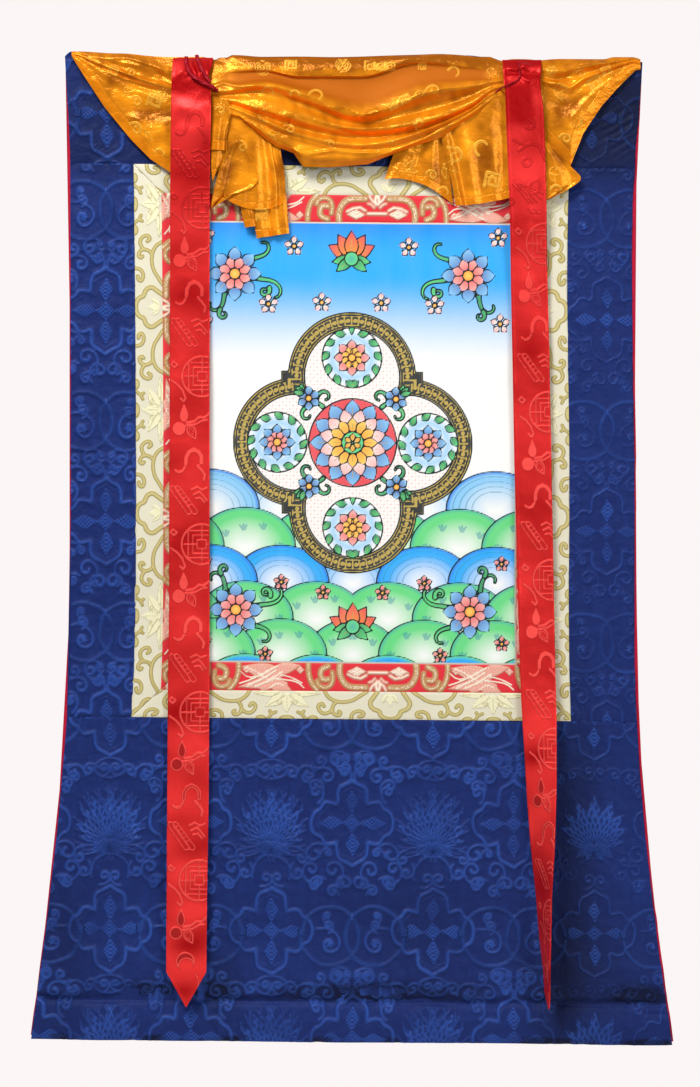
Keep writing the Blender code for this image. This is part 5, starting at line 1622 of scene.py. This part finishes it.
def paintMiddle(art):
    art.vine(picture["vines"], 2.2, "darkGreen", "green")
    bud = picture["budPlace"]
    art.wash(discField(art.u, art.v, bud), "coral", "coral")
    for way in (-1, 1):
        art.rosette(bud, bud * way, 6, (2, 10, 4, "blue", "paleBlue"))
        art.disc(bud, bud * way, 3.2, "yellow", "orange")
        for heading in (-30, 0, 30):
            art.leaf(bud + 5, bud * way * 1.1, heading + 42 * way, 11, 3.0, "darkGreen", "green")
    side, high = picture["flowerSide"], picture["flowerHigh"]
    for cx, cy, kind in ((0, -high, "warm"), (0, high, "warm"), (side, 0, "cool")):
        away = np.hypot(art.u - cx, art.v - cy)
        art.wash(away - picture["flowerDisc"], "paleBlue", "white",
                 0.2 + np.abs(away - 20) / 12)
        art.wreath(cx, cy, 24, 12, "darkGreen", "green")
        art.rosette(cx, cy, 8, *picture["rosettes"][kind])
        art.disc(cx, cy, 4, "yellow", "orange")
    art.rosette(0, 0, 12, *picture["rosettes"]["middle"])
    art.disc(0, 0, 11, "teal", "green")
    art.rosette(0, 0, 6, (1, 8, 2.8, "yellow", "orange"))


def paintedCanvas():
    finish = Finish("paintedCanvas", Roughness=0.7, Specular_IOR_Level=0.2)
    line = finish.mark("line").step(0.95, 0.55)
    gold = finish.mark("gold").step(0.7, 0.3)
    fine = finish.mark("fine").step(0.9, 0.5)
    edge = finish.mark("edge").step(1.7, 1.2)
    scale, rise = finish.mark("scaleAcross"), finish.mark("scaleDown")
    scales = ((scale * math.tau).wave() + (rise * math.tau).wave() * 0.8)
    scales = abs(scales - 0.2).step(0.3, 0.08) * finish.mark("diaper").step(0.4, 0.6)
    mottle = finish.noise(60, 3.0, (1, 1, 0.25))
    colour = finish.layers(
        finish.paint("colour"), (mottle * 0.08, (0.85, 0.92, 0.95)),
        (scales * 0.8, (0.84, 0.36, 0.27)), (fine * 0.5, (0.03, 0.25, 0.36)),
        (line, (0.012, 0.02, 0.022)), (gold, (0.52, 0.38, 0.10)), (edge, (0.66, 0.58, 0.50)))
    finish.set(Base_Color=colour, Normal=finish.bump(finish.weave(0.9, 0.9), 0.06 * mm))
    return finish


def makePainting(finish):
    left, top, right, bottom = frames["canvas"]
    corners = ((left, top), (right, top), (right, bottom), (left, bottom))
    x, drop = cutNet(corners, 1.26)
    u, v = x - (left + right) / 2, drop - (top + bottom) / 2
    art = Picture(u, v)
    for part in (paintSky, paintTiers, paintFlowers, paintLobes, paintMiddle):
        part(art)
    relief = edgeRound(x, drop, corners, 0.5, 0.8) + 0.5 * wander(x, drop, 60, 5)
    relief = relief + 0.12 * wander(x, drop, 14, 9)
    cloth = Cloth("painting_canvas", hang(x, drop), mount["thick"], 16, relief)
    cloth.paint("colour", art.colour)
    halfWide, halfHigh = picture["half"]
    edge = np.minimum(halfWide - np.abs(u), halfHigh - np.abs(v))
    cloth.mark(**art.drawn, diaper=art.ground, edge=edge, scaleAcross=(u + v) / 7,
               scaleDown=(u - v) / 7)
    cloth.cut(x, drop)
    cloth.dress(finish, "painting", "painted_canvas", (right - left, bottom - top))
    print("painting made")


def makeWorld():
    world = bpy.data.worlds.new("studio")
    bpy.context.scene.world = world
    bpy.context.scene.view_settings.view_transform = "Standard"
    world.use_nodes = True
    tree = world.node_tree
    shine, soft = tree.nodes["Background"], tree.nodes.new("ShaderNodeBackground")
    for light, colour, strength in ((shine, (0.973, 0.921, 0.921, 1), 1.0),
                                    (soft, (0.96, 0.98, 1.0, 1), 0.30)):
        light.inputs["Color"].default_value = colour
        light.inputs["Strength"].default_value = strength
    path = tree.nodes.new("ShaderNodeLightPath")
    choose = tree.nodes.new("ShaderNodeMixShader")
    for outlet, socket in ((path.outputs["Is Camera Ray"], choose.inputs["Fac"]),
                           (soft.outputs[0], choose.inputs[1]),
                           (shine.outputs[0], choose.inputs[2]),
                           (choose.outputs[0], tree.nodes["World Output"].inputs["Surface"])):
        tree.links.new(outlet, socket)


def makeFloor():
    slab = bmesh.new()
    bmesh.ops.create_circle(slab, cap_ends=True, segments=96, radius=1.1)
    floor = addObject("floor", toMesh(slab, "floor"))
    floor.location = (0, 0, -1.25)
    pale = Finish("paleFloor", Roughness=0.8, Base_Color=(0.86, 0.83, 0.82, 1))
    floor.data.materials.append(pale.material)


def softbox(name, spot, wide, high, power, colour):
    data = bpy.data.lights.new(name, "AREA")
    data.shape, data.size, data.size_y = "RECTANGLE", wide, high
    data.energy, data.color = power, colour
    lamp, aim = addObject(name, data), addObject(name + "Aim", None)
    lamp.location, aim.location = spot, (0, 0, -0.5)
    track = lamp.constraints.new("TRACK_TO")
    track.target, track.track_axis, track.up_axis = aim, "TRACK_NEGATIVE_Z", "UP_Y"


def makeCamera():
    lens, sensor = 90.0, 36.0
    width, height = 0.700, 1.087      # what the picture takes in at the scroll's plane
    middleX, middleZ = -0.002, -0.4855
    data = bpy.data.cameras.new("camera")
    data.lens, data.sensor_width = lens, sensor
    data.dof.use_dof = False
    camera = addObject("camera", data)
    camera.location = (middleX, -lens / sensor * max(width, height), middleZ)
    camera.rotation_euler = (math.pi / 2, 0, 0)
    bpy.context.scene.camera = camera


makeCamera()
makeWorld()
makeFloor()
softbox("key", (-0.8, -1.55, 1.45), 0.8, 0.8, 62, (1, 0.985, 0.96))
softbox("fill", (1.6, -2.1, 0.2), 1.0, 1.4, 24, (0.97, 0.98, 1))
makeMount(blueDamask())
makeBorder("cream", "red", creamBrocade(), creamFields, ("gold", "leaf", "veins"),
           cream["flower"])
makeBorder("red", "canvas", redBrocade(), redFields, ("brown", "pale", "threads"),
           redBand["lotus"])
makePainting(paintedCanvas())
makeLining()
makeVeil(goldSilk())
satin = redSatin()
cord = crimsonCord()
for side in ("left", "right"):
    makeStreamer("streamer_" + side, satin)
    makeTie("tie_" + side, "streamer_" + side, cord)
print("ribbons and ties made")
